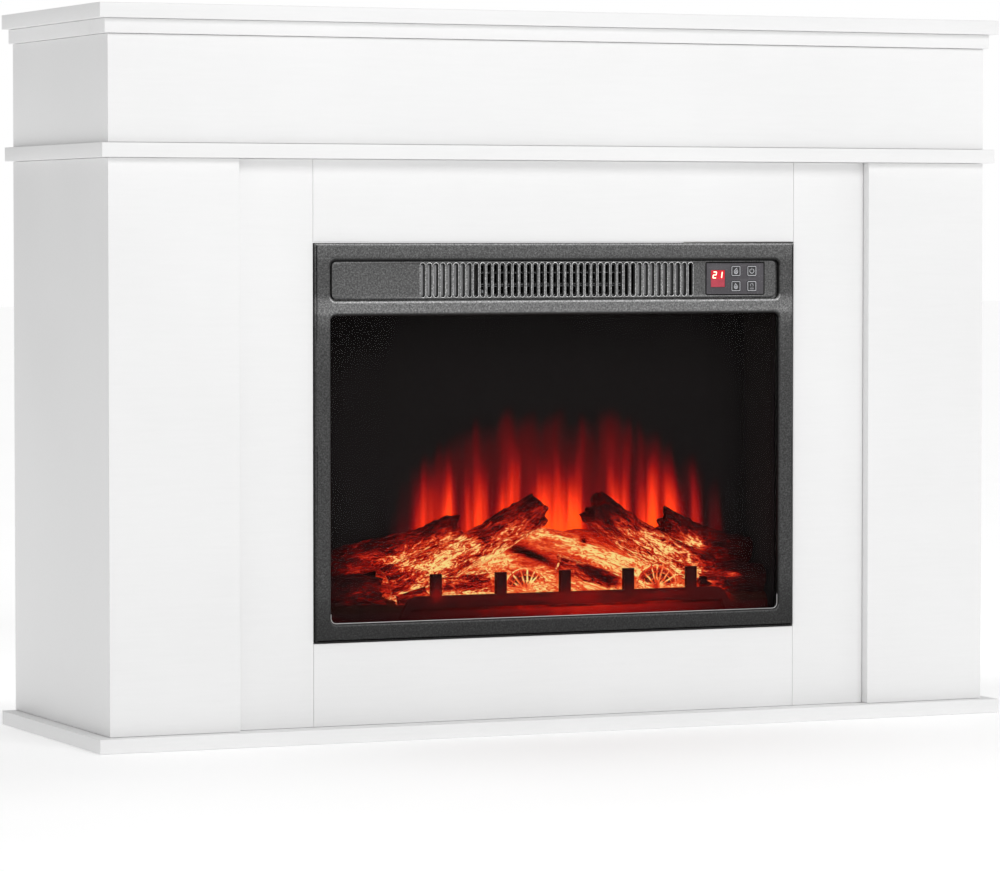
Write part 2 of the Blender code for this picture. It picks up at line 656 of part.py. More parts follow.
def build_heater_element():
    """Two end posts joined by the bars that carry the heating wire."""
    left, right = DUCT
    inset = HOUSING_WALL + GAP
    bottom, top = DIVIDER_TOP + HEATER_MARGIN, HOUSING_TOP - HEATER_MARGIN
    element = box("heater_element", (left + inset, HEATER_FRONT, bottom),
                  (left + HEATER_POST, HEATER_BACK, top), "mica")
    join(element, box("element_end", (right - HEATER_POST, HEATER_FRONT, bottom),
                      (right - inset, HEATER_BACK, top)))
    bar_left, bar_right = left + HEATER_MARGIN, right - HEATER_MARGIN
    for index, height in enumerate(HEATER_BAR_LEVELS):
        join(element, box("element_bar_%d" % index, (bar_left, HEATER_FRONT + HEATER_BAR_INSET, height),
                          (bar_right, HEATER_BACK - HEATER_BAR_INSET, height + HEATER_BAR)))
    x, y = CUTOUT_PLACE
    cylinder("thermal_cutout", (x, y, HOUSING_TOP + GAP), (x, y, CASING_CEILING),
             CUTOUT_RADIUS, "black_plastic")


def build_flame_rotor():
    """A spindle with bright vanes that throws moving light on the back of the flame screen."""
    y, z = ROTOR_AXIS
    left, right = ROTOR_ENDS
    rotor = cylinder("flame_rotor", (left - ROTOR_SHAFT_REACH, y, z), (right + ROTOR_SHAFT_REACH, y, z),
                     ROTOR_SHAFT, "mirror_foil", sides=12)
    for index in range(ROTOR_VANES):
        angle = index * pi / ROTOR_VANES
        join(rotor, turned_vane("vane_%d" % index, ROTOR_AXIS, ROTOR_ENDS, ROTOR_RADIUS, angle))
    build_rotor_bracket(left, y, z)
    start, end = (right + reach for reach in ROTOR_MOTOR_ENDS)
    motor = cylinder("rotor_motor", (start, y, z), (end, y, z), ROTOR_MOTOR_RADIUS, "black_plastic")
    stand_start, stand_end = (right + reach for reach in ROTOR_STAND_ENDS)
    half = ROTOR_STAND_HALF
    join(motor, box("rotor_motor_stand", (stand_start, y - half, CASING_FLOOR),
                    (stand_end, y + half, z - half)))
    cut(motor, cylinder("rotor_motor_bore", (right, y, z), (right + ROTOR_MOTOR_BORE_END, y, z),
                        ROTOR_MOTOR_BORE, sides=12))


def build_rotor_bracket(left, y, z):
    start, end = (left - reach for reach in BRACKET_ENDS)
    half = BRACKET_HALF
    bracket = box("rotor_bracket", (start, y - half, CASING_FLOOR),
                  (end, y + half, z + half), "black_plastic")
    foot_start, foot_end = (left - reach for reach in BRACKET_FOOT_ENDS)
    join(bracket, box("bracket_foot", (foot_start, y - half, CASING_FLOOR),
                      (foot_end, y + half, CASING_FLOOR + BRACKET_FOOT)))
    cut(bracket, cylinder("bracket_bore", (foot_start, y, z), (left + CUT_PAST, y, z),
                          BRACKET_BORE, sides=12))


def build_lamp_boards():
    front, back = FLAME_LAMPS_Y
    box("flame_led_strip", (-FLAME_LAMPS_HALF, front, CASING_FLOOR),
        (FLAME_LAMPS_HALF, back, FLAME_LAMPS_TOP), "circuit_board")
    front, back = EMBER_LAMPS_Y
    box("ember_led_strip", (-EMBER_LAMPS_HALF, front, CASING_FLOOR),
        (EMBER_LAMPS_HALF, back, CASING_FLOOR + EMBER_LAMPS_HEIGHT), "circuit_board")


def build_log_set():
    half = CASING_HALF - SHEET - BED_SIDE_GAP
    screen_half = CASING_HALF - SHEET - GAP
    box("flame_screen", (-screen_half, SCREEN_Y, CASING_FLOOR),
        (screen_half, SCREEN_Y + SCREEN, DIVIDER_Z - GAP), "flame_acrylic")
    bed_front = BED_FRONT + BED_LEDGE - BED_LEDGE_LAP
    bed_back = SCREEN_Y - SCREEN_GAP
    bed = box("ember_bed", (-half, bed_front, CASING_FLOOR), (half, bed_back, BED_TOP), "ember_resin")
    ledge = box("bed_ledge", (-half, BED_FRONT, CASING_FLOOR), (half, BED_FRONT + BED_LEDGE, BED_LEDGE_TOP))
    hollow = box("bed_hollow", (-half + BED_WALL, bed_front + BED_WALL, CASING_FLOOR - CUT_PAST),
                 (half - BED_WALL, bed_back - BED_WALL, BED_TOP - BED_WALL))
    join(bed, ledge)
    cut(bed, hollow)
    build_logs()
    build_grate()


def log(name, radius, *points):
    """A log as a round tube through a few points."""
    curve = bpy.data.curves.new(name, "CURVE")
    curve.dimensions = "3D"
    curve.bevel_depth = radius
    curve.bevel_resolution = 2
    curve.use_fill_caps = True
    spline = curve.splines.new("POLY")
    spline.points.add(len(points) - 1)
    for point, place in zip(spline.points, points):
        point.co = (*place, 1.0)
    curve.materials.append(own_material(name, "log_resin"))
    ob = bpy.data.objects.new(name, curve)
    parts.objects.link(ob)


def build_logs():
    """The thick logs lean in to the middle, the thin ones lie behind them, and the low ones fill the corners."""
    log("log_left_front", THICK_LOG, (-0.180, -0.104, 0.172), (-0.090, -0.102, 0.213), (-0.010, -0.100, 0.245))
    log("log_left_back", THIN_LOG, (-0.262, -0.074, 0.192), (-0.180, -0.074, 0.207), (-0.104, -0.074, 0.224))
    log("log_left_low", LOW_LOG, (-0.262, -0.106, 0.164), (-0.215, -0.106, 0.166))
    log("log_right_front", THICK_LOG, (0.076, -0.100, 0.246), (0.130, -0.102, 0.212), (0.190, -0.104, 0.183))
    log("log_right_back", THIN_LOG, (0.160, -0.073, 0.228), (0.215, -0.073, 0.207), (0.262, -0.073, 0.196))
    log("log_right_low", LOW_LOG, (0.205, -0.106, 0.164), (0.262, -0.106, 0.164))


def build_grate():
    front, back = GRATE_Y - GRATE_HALF, GRATE_Y + GRATE_HALF
    last = GRATE_FIRST + (GRATE_POSTS - 1) * GRATE_PITCH
    bar_bottom, bar_top = GRATE_BAR
    grate = box("grate", (GRATE_FIRST - GRATE_BAR_PAST[0], front, bar_bottom),
                (last + GRATE_BAR_PAST[1], back, bar_top), "grate_paint")
    post_bottom, post_top = GRATE_POST_LEVELS
    for index in range(GRATE_POSTS):
        x = GRATE_FIRST + index * GRATE_PITCH
        join(grate, box("post_%d" % index, (x - GRATE_POST / 2, front, post_bottom),
                        (x + GRATE_POST / 2, back, post_top)))
    starts = {"left": GRATE_FIRST - GRATE_FOOT_PAST[0], "right": last + GRATE_FOOT_PAST[1]}
    for label, x in starts.items():
        join(grate, box("grate_foot_" + label, (x, front, CASING_FLOOR),
                        (x + GRATE_FOOT, back, GRATE_FOOT_TOP)))


clear_scene()
build_mantel_layers()
build_frieze()
build_lower_body()
build_front_frame()
build_grille_plate()
build_outlet_flange()
build_control_panel()
build_casing()
build_rear_cover()
build_cord_gland()
build_blower_housing()
build_fan()
build_heater_element()
build_flame_rotor()
build_lamp_boards()
build_log_set()
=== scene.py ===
"""Looks of the electric fireplace: white board mantel, charcoal insert, glowing log set. Metres, front to -Y."""
import random
from math import atan2, cos, exp, hypot, pi, radians, sin

import bmesh
import bpy
from mathutils import Matrix, Vector, noise


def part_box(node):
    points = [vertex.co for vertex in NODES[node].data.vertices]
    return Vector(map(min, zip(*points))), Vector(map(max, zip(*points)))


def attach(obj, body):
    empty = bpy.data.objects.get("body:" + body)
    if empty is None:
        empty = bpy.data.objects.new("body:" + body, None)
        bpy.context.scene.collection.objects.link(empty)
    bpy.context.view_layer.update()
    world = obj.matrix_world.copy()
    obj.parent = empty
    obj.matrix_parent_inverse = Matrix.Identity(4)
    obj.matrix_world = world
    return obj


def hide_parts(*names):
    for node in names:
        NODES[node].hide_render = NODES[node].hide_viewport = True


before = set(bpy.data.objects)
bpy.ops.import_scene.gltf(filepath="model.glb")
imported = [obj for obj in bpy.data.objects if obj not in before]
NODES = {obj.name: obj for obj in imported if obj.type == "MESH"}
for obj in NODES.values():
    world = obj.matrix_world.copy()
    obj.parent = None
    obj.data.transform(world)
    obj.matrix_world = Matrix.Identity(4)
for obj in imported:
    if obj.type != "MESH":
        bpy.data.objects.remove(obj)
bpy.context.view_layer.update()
CABINET = "cabinet"
SEED = 7


# ---------------------------------------------------------------- shader helpers

def new_material(name):
    material = bpy.data.materials.new(name)
    material.use_nodes = True
    tree = material.node_tree
    shader = tree.nodes["Principled BSDF"]
    return material, tree, shader


def coordinates(tree, scale=(1, 1, 1), kind="Object"):
    """Object coordinates in metres, stretched by scale."""
    source = tree.nodes.new("ShaderNodeTexCoord")
    mapping = tree.nodes.new("ShaderNodeMapping")
    mapping.inputs["Scale"].default_value = scale
    tree.links.new(source.outputs[kind], mapping.inputs["Vector"])
    return mapping.outputs["Vector"]


def noise_of(tree, vector, scale, detail=3.0, rough=0.5, distortion=0.0):
    node = tree.nodes.new("ShaderNodeTexNoise")
    node.inputs["Scale"].default_value = scale
    node.inputs["Detail"].default_value = detail
    node.inputs["Roughness"].default_value = rough
    node.inputs["Distortion"].default_value = distortion
    if vector is not None:
        tree.links.new(vector, node.inputs["Vector"])
    return node.outputs["Fac"]


def ramp(tree, value, *stops):
    """A colour ramp through (position, colour) stops; a number stands for a grey."""
    node = tree.nodes.new("ShaderNodeValToRGB")
    band = node.color_ramp
    band.elements.remove(band.elements[1])
    for number, (position, colour) in enumerate(stops):
        element = band.elements.new(position) if number else band.elements[0]
        element.position = position
        grey = isinstance(colour, (int, float))
        element.color = (colour, colour, colour, 1) if grey else (*colour, 1)
    tree.links.new(value, node.inputs["Fac"])
    return node.outputs["Color"]


def maths(tree, operation, a, b):
    node = tree.nodes.new("ShaderNodeMath")
    node.operation = operation
    for socket, value in zip(node.inputs, (a, b)):
        if isinstance(value, (int, float)):
            socket.default_value = value
        else:
            tree.links.new(value, socket)
    return node.outputs["Value"]


def times(tree, a, b):
    return maths(tree, "MULTIPLY", a, b)


def plus(tree, a, b):
    return maths(tree, "ADD", a, b)


def parts_of(tree, vector):
    """The X, Y and Z of a vector."""
    node = tree.nodes.new("ShaderNodeSeparateXYZ")
    tree.links.new(vector, node.inputs["Vector"])
    return node.outputs


def bump(tree, shader, height, distance, strength=1.0):
    node = tree.nodes.new("ShaderNodeBump")
    node.inputs["Distance"].default_value = distance
    node.inputs["Strength"].default_value = strength
    tree.links.new(height, node.inputs["Height"])
    tree.links.new(node.outputs["Normal"], shader.inputs["Normal"])


def feed(tree, shader, **sockets):
    """Links values to a shader's sockets."""
    for name, value in sockets.items():
        tree.links.new(value, shader.inputs[name.replace("_", " ")])


def settle(shader, **sockets):
    """Sets uniform values on a shader's sockets."""
    for name, value in sockets.items():
        shader.inputs[name.replace("_", " ")].default_value = value


# ---------------------------------------------------------------- materials

FRONT_SPECKLE = 520.0
GLASS_ALPHA = 0.05
# Gloss of the matt pieces in the fire box, and how brightly the resin and the flame screen shine
MATT = 0.03
RESIN_GLOW = 1.2
SCREEN_GLOW = 1.76


def board_material(name, low, high, warm=1.0):
    """Satin foil on fibreboard: a faint mottle, a fine pressed grain and small changes of gloss."""
    material, tree, shader = new_material(name)
    grain = noise_of(tree, coordinates(tree, (6, 60, 90)), 4.0, 6.0, 0.6)
    cloud = noise_of(tree, coordinates(tree), 5.0, 3.0)
    mixed = plus(tree, times(tree, grain, 0.35), times(tree, cloud, 0.65))
    colour = ramp(tree, mixed, (0.3, (low, low, low * warm)), (0.7, (high, high, high * warm)))
    gloss = ramp(tree, cloud, (0.3, 0.36), (0.7, 0.50))
    feed(tree, shader, Base_Color=colour, Roughness=gloss)
    peel = noise_of(tree, coordinates(tree), 700.0, 2.0)
    bump(tree, shader, peel, 0.00004, 0.35)
    return material


def powder_coat(name, dark, light, metal=0.25, rough=(0.38, 0.62), speckle=900.0):
    """Textured powder coat: a fine sparkling speckle over a low mottle."""
    material, tree, shader = new_material(name)
    fine = noise_of(tree, coordinates(tree), speckle, 2.0, 0.7)
    soft = noise_of(tree, coordinates(tree), 14.0, 2.0)
    mixed = plus(tree, times(tree, fine, 0.8), times(tree, soft, 0.2))
    colour = ramp(tree, mixed, (0.36, dark), (0.52, [(a + b) / 2 for a, b in zip(dark, light)]), (0.66, light))
    gloss = ramp(tree, fine, (0.35, rough[0]), (0.65, rough[1]))
    feed(tree, shader, Base_Color=colour, Roughness=gloss)
    settle(shader, Metallic=metal)
    bump(tree, shader, fine, 0.00012, 0.6)
    return material


def front_coat_painted_light(name, painted_light_bands):
    """Charcoal powder coat of the insert's front, with painted light. Its tone follows the height through
    painted_light_bands of (z, tone), which paint shade and light by height; the edges that turn away from the front
    get painted shade, the edges that face down get painted shade too, and the edges that face up get a fine painted
    highlight."""
    material, tree, shader = new_material(name)
    fine = noise_of(tree, coordinates(tree), FRONT_SPECKLE, 2.0, 0.75)
    speckle = ramp(tree, fine, (0.34, 0.060), (0.52, 0.118), (0.68, 0.205))
    height = parts_of(tree, coordinates(tree))["Z"]
    facing = parts_of(tree, tree.nodes.new("ShaderNodeNewGeometry").outputs["Normal"])
    # painted shade on the edges that turn away from the front
    painted_edge_shade = ramp(tree, times(tree, facing["Y"], -1.0), (0.0, 0.10), (0.45, 0.35), (0.80, 0.85), (0.97, 1.0))
    lift = plus(tree, times(tree, facing["Z"], 0.5), 0.5)
    # painted highlight on the edges that face up, painted shade on the edges that face down
    painted_edge_highlight = ramp(tree, lift, (0.10, 0.05), (0.30, 0.08), (0.44, 0.16), (0.485, 0.33), (0.525, 0.33),
                  (0.62, 1.0), (0.84, 0.90), (0.95, 0.33))
    # painted light and shade by height, times the painted edge shade and the painted edge highlight
    tone = times(tree, ramp(tree, height, *painted_light_bands), painted_edge_shade)
    tone = times(tree, tone, times(tree, painted_edge_highlight, 3.0))
    colour = tree.nodes.new("ShaderNodeMix")
    colour.data_type = "RGBA"
    colour.blend_type = "MULTIPLY"
    colour.inputs["Factor"].default_value = 1.0
    tree.links.new(speckle, colour.inputs["A"])
    tree.links.new(tone, colour.inputs["B"])
    feed(tree, shader, Base_Color=colour.outputs["Result"],
         Roughness=ramp(tree, fine, (0.35, 0.50), (0.65, 0.66)))
    settle(shader, Specular_IOR_Level=0.22)
    bump(tree, shader, fine, 0.00012, 0.7)
    return material


def sheet_metal(name, tint, rough=(0.28, 0.5)):
    """Galvanised or brushed sheet: spangle patches and rolling lines."""
    material, tree, shader = new_material(name)
    cells = tree.nodes.new("ShaderNodeTexVoronoi")
    cells.inputs["Scale"].default_value = 90.0
    tree.links.new(coordinates(tree), cells.inputs["Vector"])
    lines = noise_of(tree, coordinates(tree, (1, 1, 40)), 60.0, 4.0, 0.6)
    spangle = plus(tree, times(tree, cells.outputs["Distance"], 0.5), times(tree, lines, 0.6))
    dark = [c * 0.78 for c in tint]
    feed(tree, shader, Base_Color=ramp(tree, spangle, (0.2, dark), (0.8, tint)),
         Roughness=ramp(tree, lines, (0.3, rough[0]), (0.7, rough[1])))
    settle(shader, Metallic=0.9)
    bump(tree, shader, lines, 0.00005, 0.4)
    return material


def moulded_plastic(name, dark, light, rough=(0.15, 0.3), grain=400.0, depth=0.00003):
    material, tree, shader = new_material(name)
    tone = noise_of(tree, coordinates(tree), 30.0, 3.0)
    fine = noise_of(tree, coordinates(tree), grain, 2.0)
    feed(tree, shader, Base_Color=ramp(tree, tone, (0.3, dark), (0.7, light)),
         Roughness=ramp(tree, fine, (0.3, rough[0]), (0.7, rough[1])))
    bump(tree, shader, fine, depth, 0.5)
    return material


def clear_glass():
    """The window pane: nearly clear, a little smoked, with a faint smear of dust in its gloss."""
    material, tree, shader = new_material("window_glass")
    dust = noise_of(tree, coordinates(tree), 18.0, 5.0, 0.6)
    feed(tree, shader, Roughness=ramp(tree, dust, (0.4, 0.03), (0.8, 0.09)))
    feed(tree, shader, Base_Color=ramp(tree, dust, (0.3, (0.004, 0.004, 0.004)), (0.7, (0.008, 0.007, 0.007))))
    settle(shader, Alpha=GLASS_ALPHA, Specular_IOR_Level=0.4)
    return material


# Colours of glowing resin, from cold to hot
FIRE = ((0.0, (0.0, 0.0, 0.0)), (0.12, (0.006, 0.0004, 0.0004)), (0.25, (0.045, 0.0010, 0.0009)),
        (0.38, (0.19, 0.0025, 0.0018)), (0.50, (0.38, 0.008, 0.003)), (0.62, (0.58, 0.024, 0.006)),
        (0.74, (0.75, 0.070, 0.015)), (0.85, (0.81, 0.165, 0.038)), (0.94, (0.83, 0.38, 0.11)),
        (1.0, (0.83, 0.62, 0.21)))
# Colours of the flames on the screen, from the dim haze to the heart of a tongue
FLAME = ((0.0, (0.0, 0.0, 0.0)), (0.10, (0.0005, 0.0001, 0.0001)), (0.17, (0.012, 0.001, 0.001)),
         (0.27, (0.046, 0.001, 0.0015)), (0.40, (0.125, 0.002, 0.003)), (0.55, (0.27, 0.005, 0.002)),
         (0.73, (0.50, 0.014, 0.003)), (0.88, (0.76, 0.034, 0.004)), (1.0, (1.0, 0.062, 0.005)))


def attribute(tree, name, kind):
    """A value that the mesh carries at its points."""
    node = tree.nodes.new("ShaderNodeAttribute")
    node.attribute_name = name
    return node.outputs[kind]


def ridged(tree, value, sharpness):
    """Turns noise into thin bright lines where it crosses its middle."""
    off = maths(tree, "ABSOLUTE", maths(tree, "SUBTRACT", value, 0.5), 0.0)
    line = maths(tree, "SUBTRACT", 1.0, times(tree, off, sharpness))
    return maths(tree, "MAXIMUM", line, 0.0)


def glowing(name, base, streaks, mix, cracks, bump_depth, rough=0.7):
    """Charred resin lit from inside. The ember attribute on the mesh carries the heat, and lines that follow the
    grain attribute break it up: mix holds the shares of steady glow, broad and fine bright lines, and cracks how
    deep the dark lines are and how dark the charred patches are."""
    material, tree, shader = new_material(name)
    heat = attribute(tree, "ember", "Fac")
    grain = attribute(tree, "grain", "Vector")
    broad = noise_of(tree, grain, streaks, 3.0, 0.55, 0.8)
    fine = noise_of(tree, grain, streaks * 1.6, 3.0, 0.6, 1.2)
    split = noise_of(tree, grain, streaks * 1.15, 2.0, 0.5, 1.6)
    lines = times(tree, ridged(tree, broad, 15.0), mix[1])
    threads = times(tree, ridged(tree, fine, 14.0), mix[2])
    lit = plus(tree, plus(tree, lines, threads), mix[0])
    dark_lines = maths(tree, "SUBTRACT", 1.0, times(tree, ridged(tree, split, 13.0), cracks[0]))
    char = ramp(tree, noise_of(tree, grain, streaks * 0.42, 4.0, 0.6, 0.6), (0.40, 1.0 - cracks[1]), (0.56, 1.0))
    level = times(tree, times(tree, lit, times(tree, char, dark_lines)), heat)
    feed(tree, shader, Emission_Color=ramp(tree, level, *FIRE),
         Base_Color=ramp(tree, broad, (0.35, base), (0.65, [c * 2.0 for c in base])))
    settle(shader, Emission_Strength=RESIN_GLOW, Roughness=rough, Specular_IOR_Level=MATT)
    bump(tree, shader, plus(tree, broad, times(tree, fine, 0.4)), bump_depth, 0.8)
    return material


def flame_screen_material():
    """Smoked acrylic with the flame pattern that the rotor and the lamps throw on it."""
    material, tree, shader = new_material("flame_screen_lit")
    streak = noise_of(tree, coordinates(tree, (1, 0.01, 0.06)), 170.0, 3.0, 0.55, 0.3)
    level = times(tree, attribute(tree, "ember", "Fac"), ramp(tree, streak, (0.3, 0.86), (0.7, 1.10)))
    smoke = plus(tree, level, times(tree, noise_of(tree, coordinates(tree), 8.0, 2.0), 0.12))
    tint = ramp(tree, smoke, (0.03, (0.0088, 0.0070, 0.0070)), (0.09, (0.0078, 0.0061, 0.0061)),
                (0.40, (0.0010, 0.0004, 0.0003)))
    feed(tree, shader, Emission_Color=ramp(tree, level, *FLAME), Base_Color=tint)
    settle(shader, Emission_Strength=SCREEN_GLOW, Roughness=0.7, Specular_IOR_Level=MATT)
    return material


def lit_display(name, colour, strength):
    material, tree, shader = new_material(name)
    tone = noise_of(tree, coordinates(tree), 300.0, 2.0)
    shade = ramp(tree, tone, (0.3, [c * 0.82 for c in colour]), (0.7, colour))
    feed(tree, shader, Base_Color=shade, Emission_Color=shade)
    settle(shader, Emission_Strength=strength, Roughness=0.25)
    return material


WHITE = board_material("white_foil_board", 0.84, 0.88)
RAW = board_material("raw_board", 0.60, 0.70, 0.94)
# Painted light by height on the frame: darker towards the bottom, lighter at the top and brightest on the bar
# between the window and the air channel, with a painted highlight line along the bar's lower edge.
CHARCOAL_PAINTED_LIGHT = front_coat_painted_light("charcoal_coat_painted_light", ((0.10, 0.20), (0.13, 0.22), (0.17, 0.42), (0.40, 0.45), (0.45, 0.60),
                                               (0.4662, 1.0), (0.4680, 1.9), (0.4695, 1.50), (0.4815, 1.42),
                                               (0.4860, 0.66), (0.522, 0.62), (0.530, 0.86), (0.545, 0.94)))
# Painted highlight along the grille plate's bottom edge, over a painted tone by height on the rest of the plate.
GRILLE_COAT_PAINTED_LIGHT = front_coat_painted_light("charcoal_grille_coat_painted_light", ((0.4828, 2.4), (0.4840, 1.9), (0.4846, 0.92), (0.524, 0.82)))
# The slot lips are painted about four times lighter than the plate: a painted highlight round every slot.
LIP_PAINTED_HIGHLIGHT = front_coat_painted_light("charcoal_lip_painted_highlight", ((0.4825, 4.6), (0.524, 3.8)))
# A near-black sheet behind the slots that stands in for the shade on the slot walls: painted shade.
SHADE_LINER = powder_coat("black_liner_painted_slot_shade", (0.002, 0.002, 0.002), (0.006, 0.006, 0.006), 0.0, (0.6, 0.8))
# A bright bead that stands in for the highlight along the window's lower edge: a painted highlight.
HIGHLIGHT_BEAD = sheet_metal("bright_bead_painted_highlight", (0.80, 0.80, 0.80), (0.30, 0.42))
STEEL = sheet_metal("galvanised_sheet", (0.55, 0.56, 0.58))
DARK_STEEL = powder_coat("satin_black_coat", (0.012, 0.012, 0.013), (0.035, 0.035, 0.036), speckle=1400.0)
BLOCKED_STEEL = sheet_metal("dull_grey_sheet", (0.36, 0.36, 0.365), (0.45, 0.65))
PLASTIC = moulded_plastic("dark_gloss_plastic", (0.062, 0.057, 0.064), (0.076, 0.071, 0.080))
BLACK_PLASTIC = moulded_plastic("black_moulded_plastic", (0.012, 0.012, 0.013), (0.022, 0.022, 0.024),
                                (0.35, 0.55), 900.0)
KEY_LINE = moulded_plastic("printed_key_line", (0.46, 0.46, 0.49), (0.60, 0.60, 0.63), (0.4, 0.6))
BOARD_GREEN = moulded_plastic("circuit_board_green", (0.01, 0.10, 0.045), (0.02, 0.16, 0.07), (0.3, 0.5))
MICA = moulded_plastic("mica_sheet", (0.030, 0.028, 0.026), (0.060, 0.056, 0.050), (0.5, 0.8), 500.0, 0.00008)
SCREW = sheet_metal("dark_zinc_plate", (0.17, 0.17, 0.175), (0.30, 0.42))
FOIL = sheet_metal("mirror_foil", (0.85, 0.85, 0.87), (0.08, 0.18))
GLASS = clear_glass()
EMBER = glowing("glowing_embers", (0.008, 0.002, 0.001), 190.0, (0.86, 0.22, 0.16), (0.32, 0.22), 0.0010)
LOG = glowing("charred_log_resin", (0.004, 0.001, 0.001), 185.0, (0.64, 0.66, 0.46), (0.38, 0.42), 0.0008)
TWIG = glowing("glowing_twigs", (0.03, 0.008, 0.004), 160.0, (0.95, 0.15, 0.10), (0.10, 0.10), 0.0003)
GRATE = glowing("grate_paint", (0.003, 0.001, 0.001), 60.0, (0.95, 0.06, 0.03), (0.05, 0.30), 0.0002, 0.6)
FIREBOX = powder_coat("firebox_matt_black", (0.014, 0.0115, 0.0115), (0.022, 0.018, 0.018), 0.0, (0.6, 0.8))
FIREBOX.node_tree.nodes["Principled BSDF"].inputs["Specular IOR Level"].default_value = 0.04
SCREEN = flame_screen_material()
RED_WINDOW = lit_display("red_window", (0.42, 0.040, 0.065), 0.22)
RED_HALO = lit_display("red_window_lit", (0.55, 0.008, 0.022), 0.45)
DIGIT = lit_display("lit_digit", (1.0, 0.86, 0.62), 1.6)


# ---------------------------------------------------------------- mesh helpers

MERGE = 0.000002


def dress(ob, material):
    ob.data.materials.clear()
    ob.data.materials.append(material)


def publish(name, mesh, material, body=CABINET, stands_for=()):
    """Makes a piece from a mesh, gives it its material and lets it ride on its body."""
    ob = bpy.data.objects.new(name, mesh)
    bpy.context.scene.collection.objects.link(ob)
    dress(ob, material)
    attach(ob, body)
    if stands_for:
        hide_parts(*stands_for)
    return ob


def finish_mesh(name, bm, smooth_angle=0.6):
    mesh = bpy.data.meshes.new(name)
    bmesh.ops.recalc_face_normals(bm, faces=bm.faces)
    bm.to_mesh(mesh)
    bm.free()
    mesh.shade_smooth()
    mesh.set_sharp_from_angle(angle=smooth_angle)
    return mesh


def ease_edges(bm, radius, segments):
    """Rounds the edges whose faces meet at about a right angle; knife edges of mitres stay."""
    edges = [e for e in bm.edges if len(e.link_faces) == 2 and 1.2 < e.calc_face_angle(0) < 2.0]
    bmesh.ops.bevel(bm, geom=edges, offset=radius, segments=segments, affect="EDGES", profile=0.5,
                    clamp_overlap=True)


def box_mesh(name, low, high, radius, segments):
    low, high = Vector(low), Vector(high)
    bm = bmesh.new()
    place = Matrix.Translation((low + high) / 2) @ Matrix.Diagonal((*(high - low), 1.0))
    bmesh.ops.create_cube(bm, size=1.0, matrix=place)
    ease_edges(bm, radius, segments)
    return finish_mesh(name, bm)


def cylinder_mesh(name, start, end, radius, sides=32, edge=0.0003):
    start, end = Vector(start), Vector(end)
    run = end - start
    turn = run.to_track_quat("Z", "Y").to_matrix().to_4x4()
    bm = bmesh.new()
    bmesh.ops.create_cone(bm, cap_ends=True, segments=sides, radius1=radius, radius2=radius, depth=run.length,
                          matrix=Matrix.Translation((start + end) / 2) @ turn)
    rims = [e for e in bm.edges if len(e.link_faces) == 2 and e.calc_face_angle(0) > 1.0]
    bmesh.ops.bevel(bm, geom=rims, offset=edge, segments=2, affect="EDGES", profile=0.5)
    return finish_mesh(name, bm)


def arc_outline(half_x, half_z, radius, steps=8, centre=(0.0, 0.0)):
    """A rectangle with round corners."""
    points = []
    for index, (sx, sz) in enumerate(((1, 1), (-1, 1), (-1, -1), (1, -1))):
        for step in range(steps + 1):
            angle = (index + step / steps) * pi / 2
            points.append((centre[0] + sx * (half_x - radius) + radius * cos(angle),
                           centre[1] + sz * (half_z - radius) + radius * sin(angle)))
    return points


def span_outline(low, high, radius, steps, grow=0.0):
    """The outline of a box seen from the front, grown on every side."""
    return arc_outline((high.x - low.x) / 2 + grow, (high.z - low.z) / 2 + grow, radius, steps,
                       ((low.x + high.x) / 2, (low.z + high.z) / 2))


def mesh_of_curve(name, curve, place, smooth_angle):
    """The mesh of a curve, with its doubled points merged."""
    holder = bpy.data.objects.new(name, curve)
    holder.matrix_world = place
    bpy.context.scene.collection.objects.link(holder)
    bpy.context.view_layer.update()
    mesh = bpy.data.meshes.new_from_object(holder.evaluated_get(bpy.context.evaluated_depsgraph_get()))
    mesh.transform(holder.matrix_world)
    bpy.data.objects.remove(holder)
    bm = bmesh.new()
    bm.from_mesh(mesh)
    bmesh.ops.remove_doubles(bm, verts=bm.verts, dist=MERGE)
    return finish_mesh(name, bm, smooth_angle)


def plate_mesh(name, outlines, front, thickness, edge, edge_steps=3):
    """A flat plate in the XZ plane from an outer outline and its holes, with every edge rounded."""
    curve = bpy.data.curves.new(name, "CURVE")
    curve.dimensions = "2D"
    curve.fill_mode = "BOTH"
    curve.bevel_depth = edge
    curve.bevel_resolution = edge_steps
    curve.extrude = thickness / 2 - edge
    curve.offset = -edge
    for outline in outlines:
        spline = curve.splines.new("POLY")
        spline.points.add(len(outline) - 1)
        for point, (x, z) in zip(spline.points, outline):
            point.co = (x, z, 0.0, 1.0)
        spline.use_cyclic_u = True
    place = Matrix.Translation((0, front + thickness / 2, 0)) @ Matrix.Rotation(pi / 2, 4, "X")
    return mesh_of_curve(name, curve, place, 0.9)


def tube_mesh(name, points, radius, sides=8):
    """A round wire through points."""
    curve = bpy.data.curves.new(name, "CURVE")
    curve.dimensions = "3D"
    curve.bevel_depth = radius
    curve.bevel_resolution = sides // 2 - 2
    curve.use_fill_caps = True
    spline = curve.splines.new("POLY")
    spline.points.add(len(points) - 1)
    for point, place in zip(spline.points, points):
        point.co = (*place, 1.0)
    return mesh_of_curve(name, curve, Matrix.Identity(4), 1.2)


def stitch(bm, rings):
    """Joins closed rings of points, each to the next."""
    for a, b in zip(rings, rings[1:]):
        for j in range(len(a)):
            k = (j + 1) % len(a)
            bm.faces.new((a[j], b[j], b[k], a[k]))


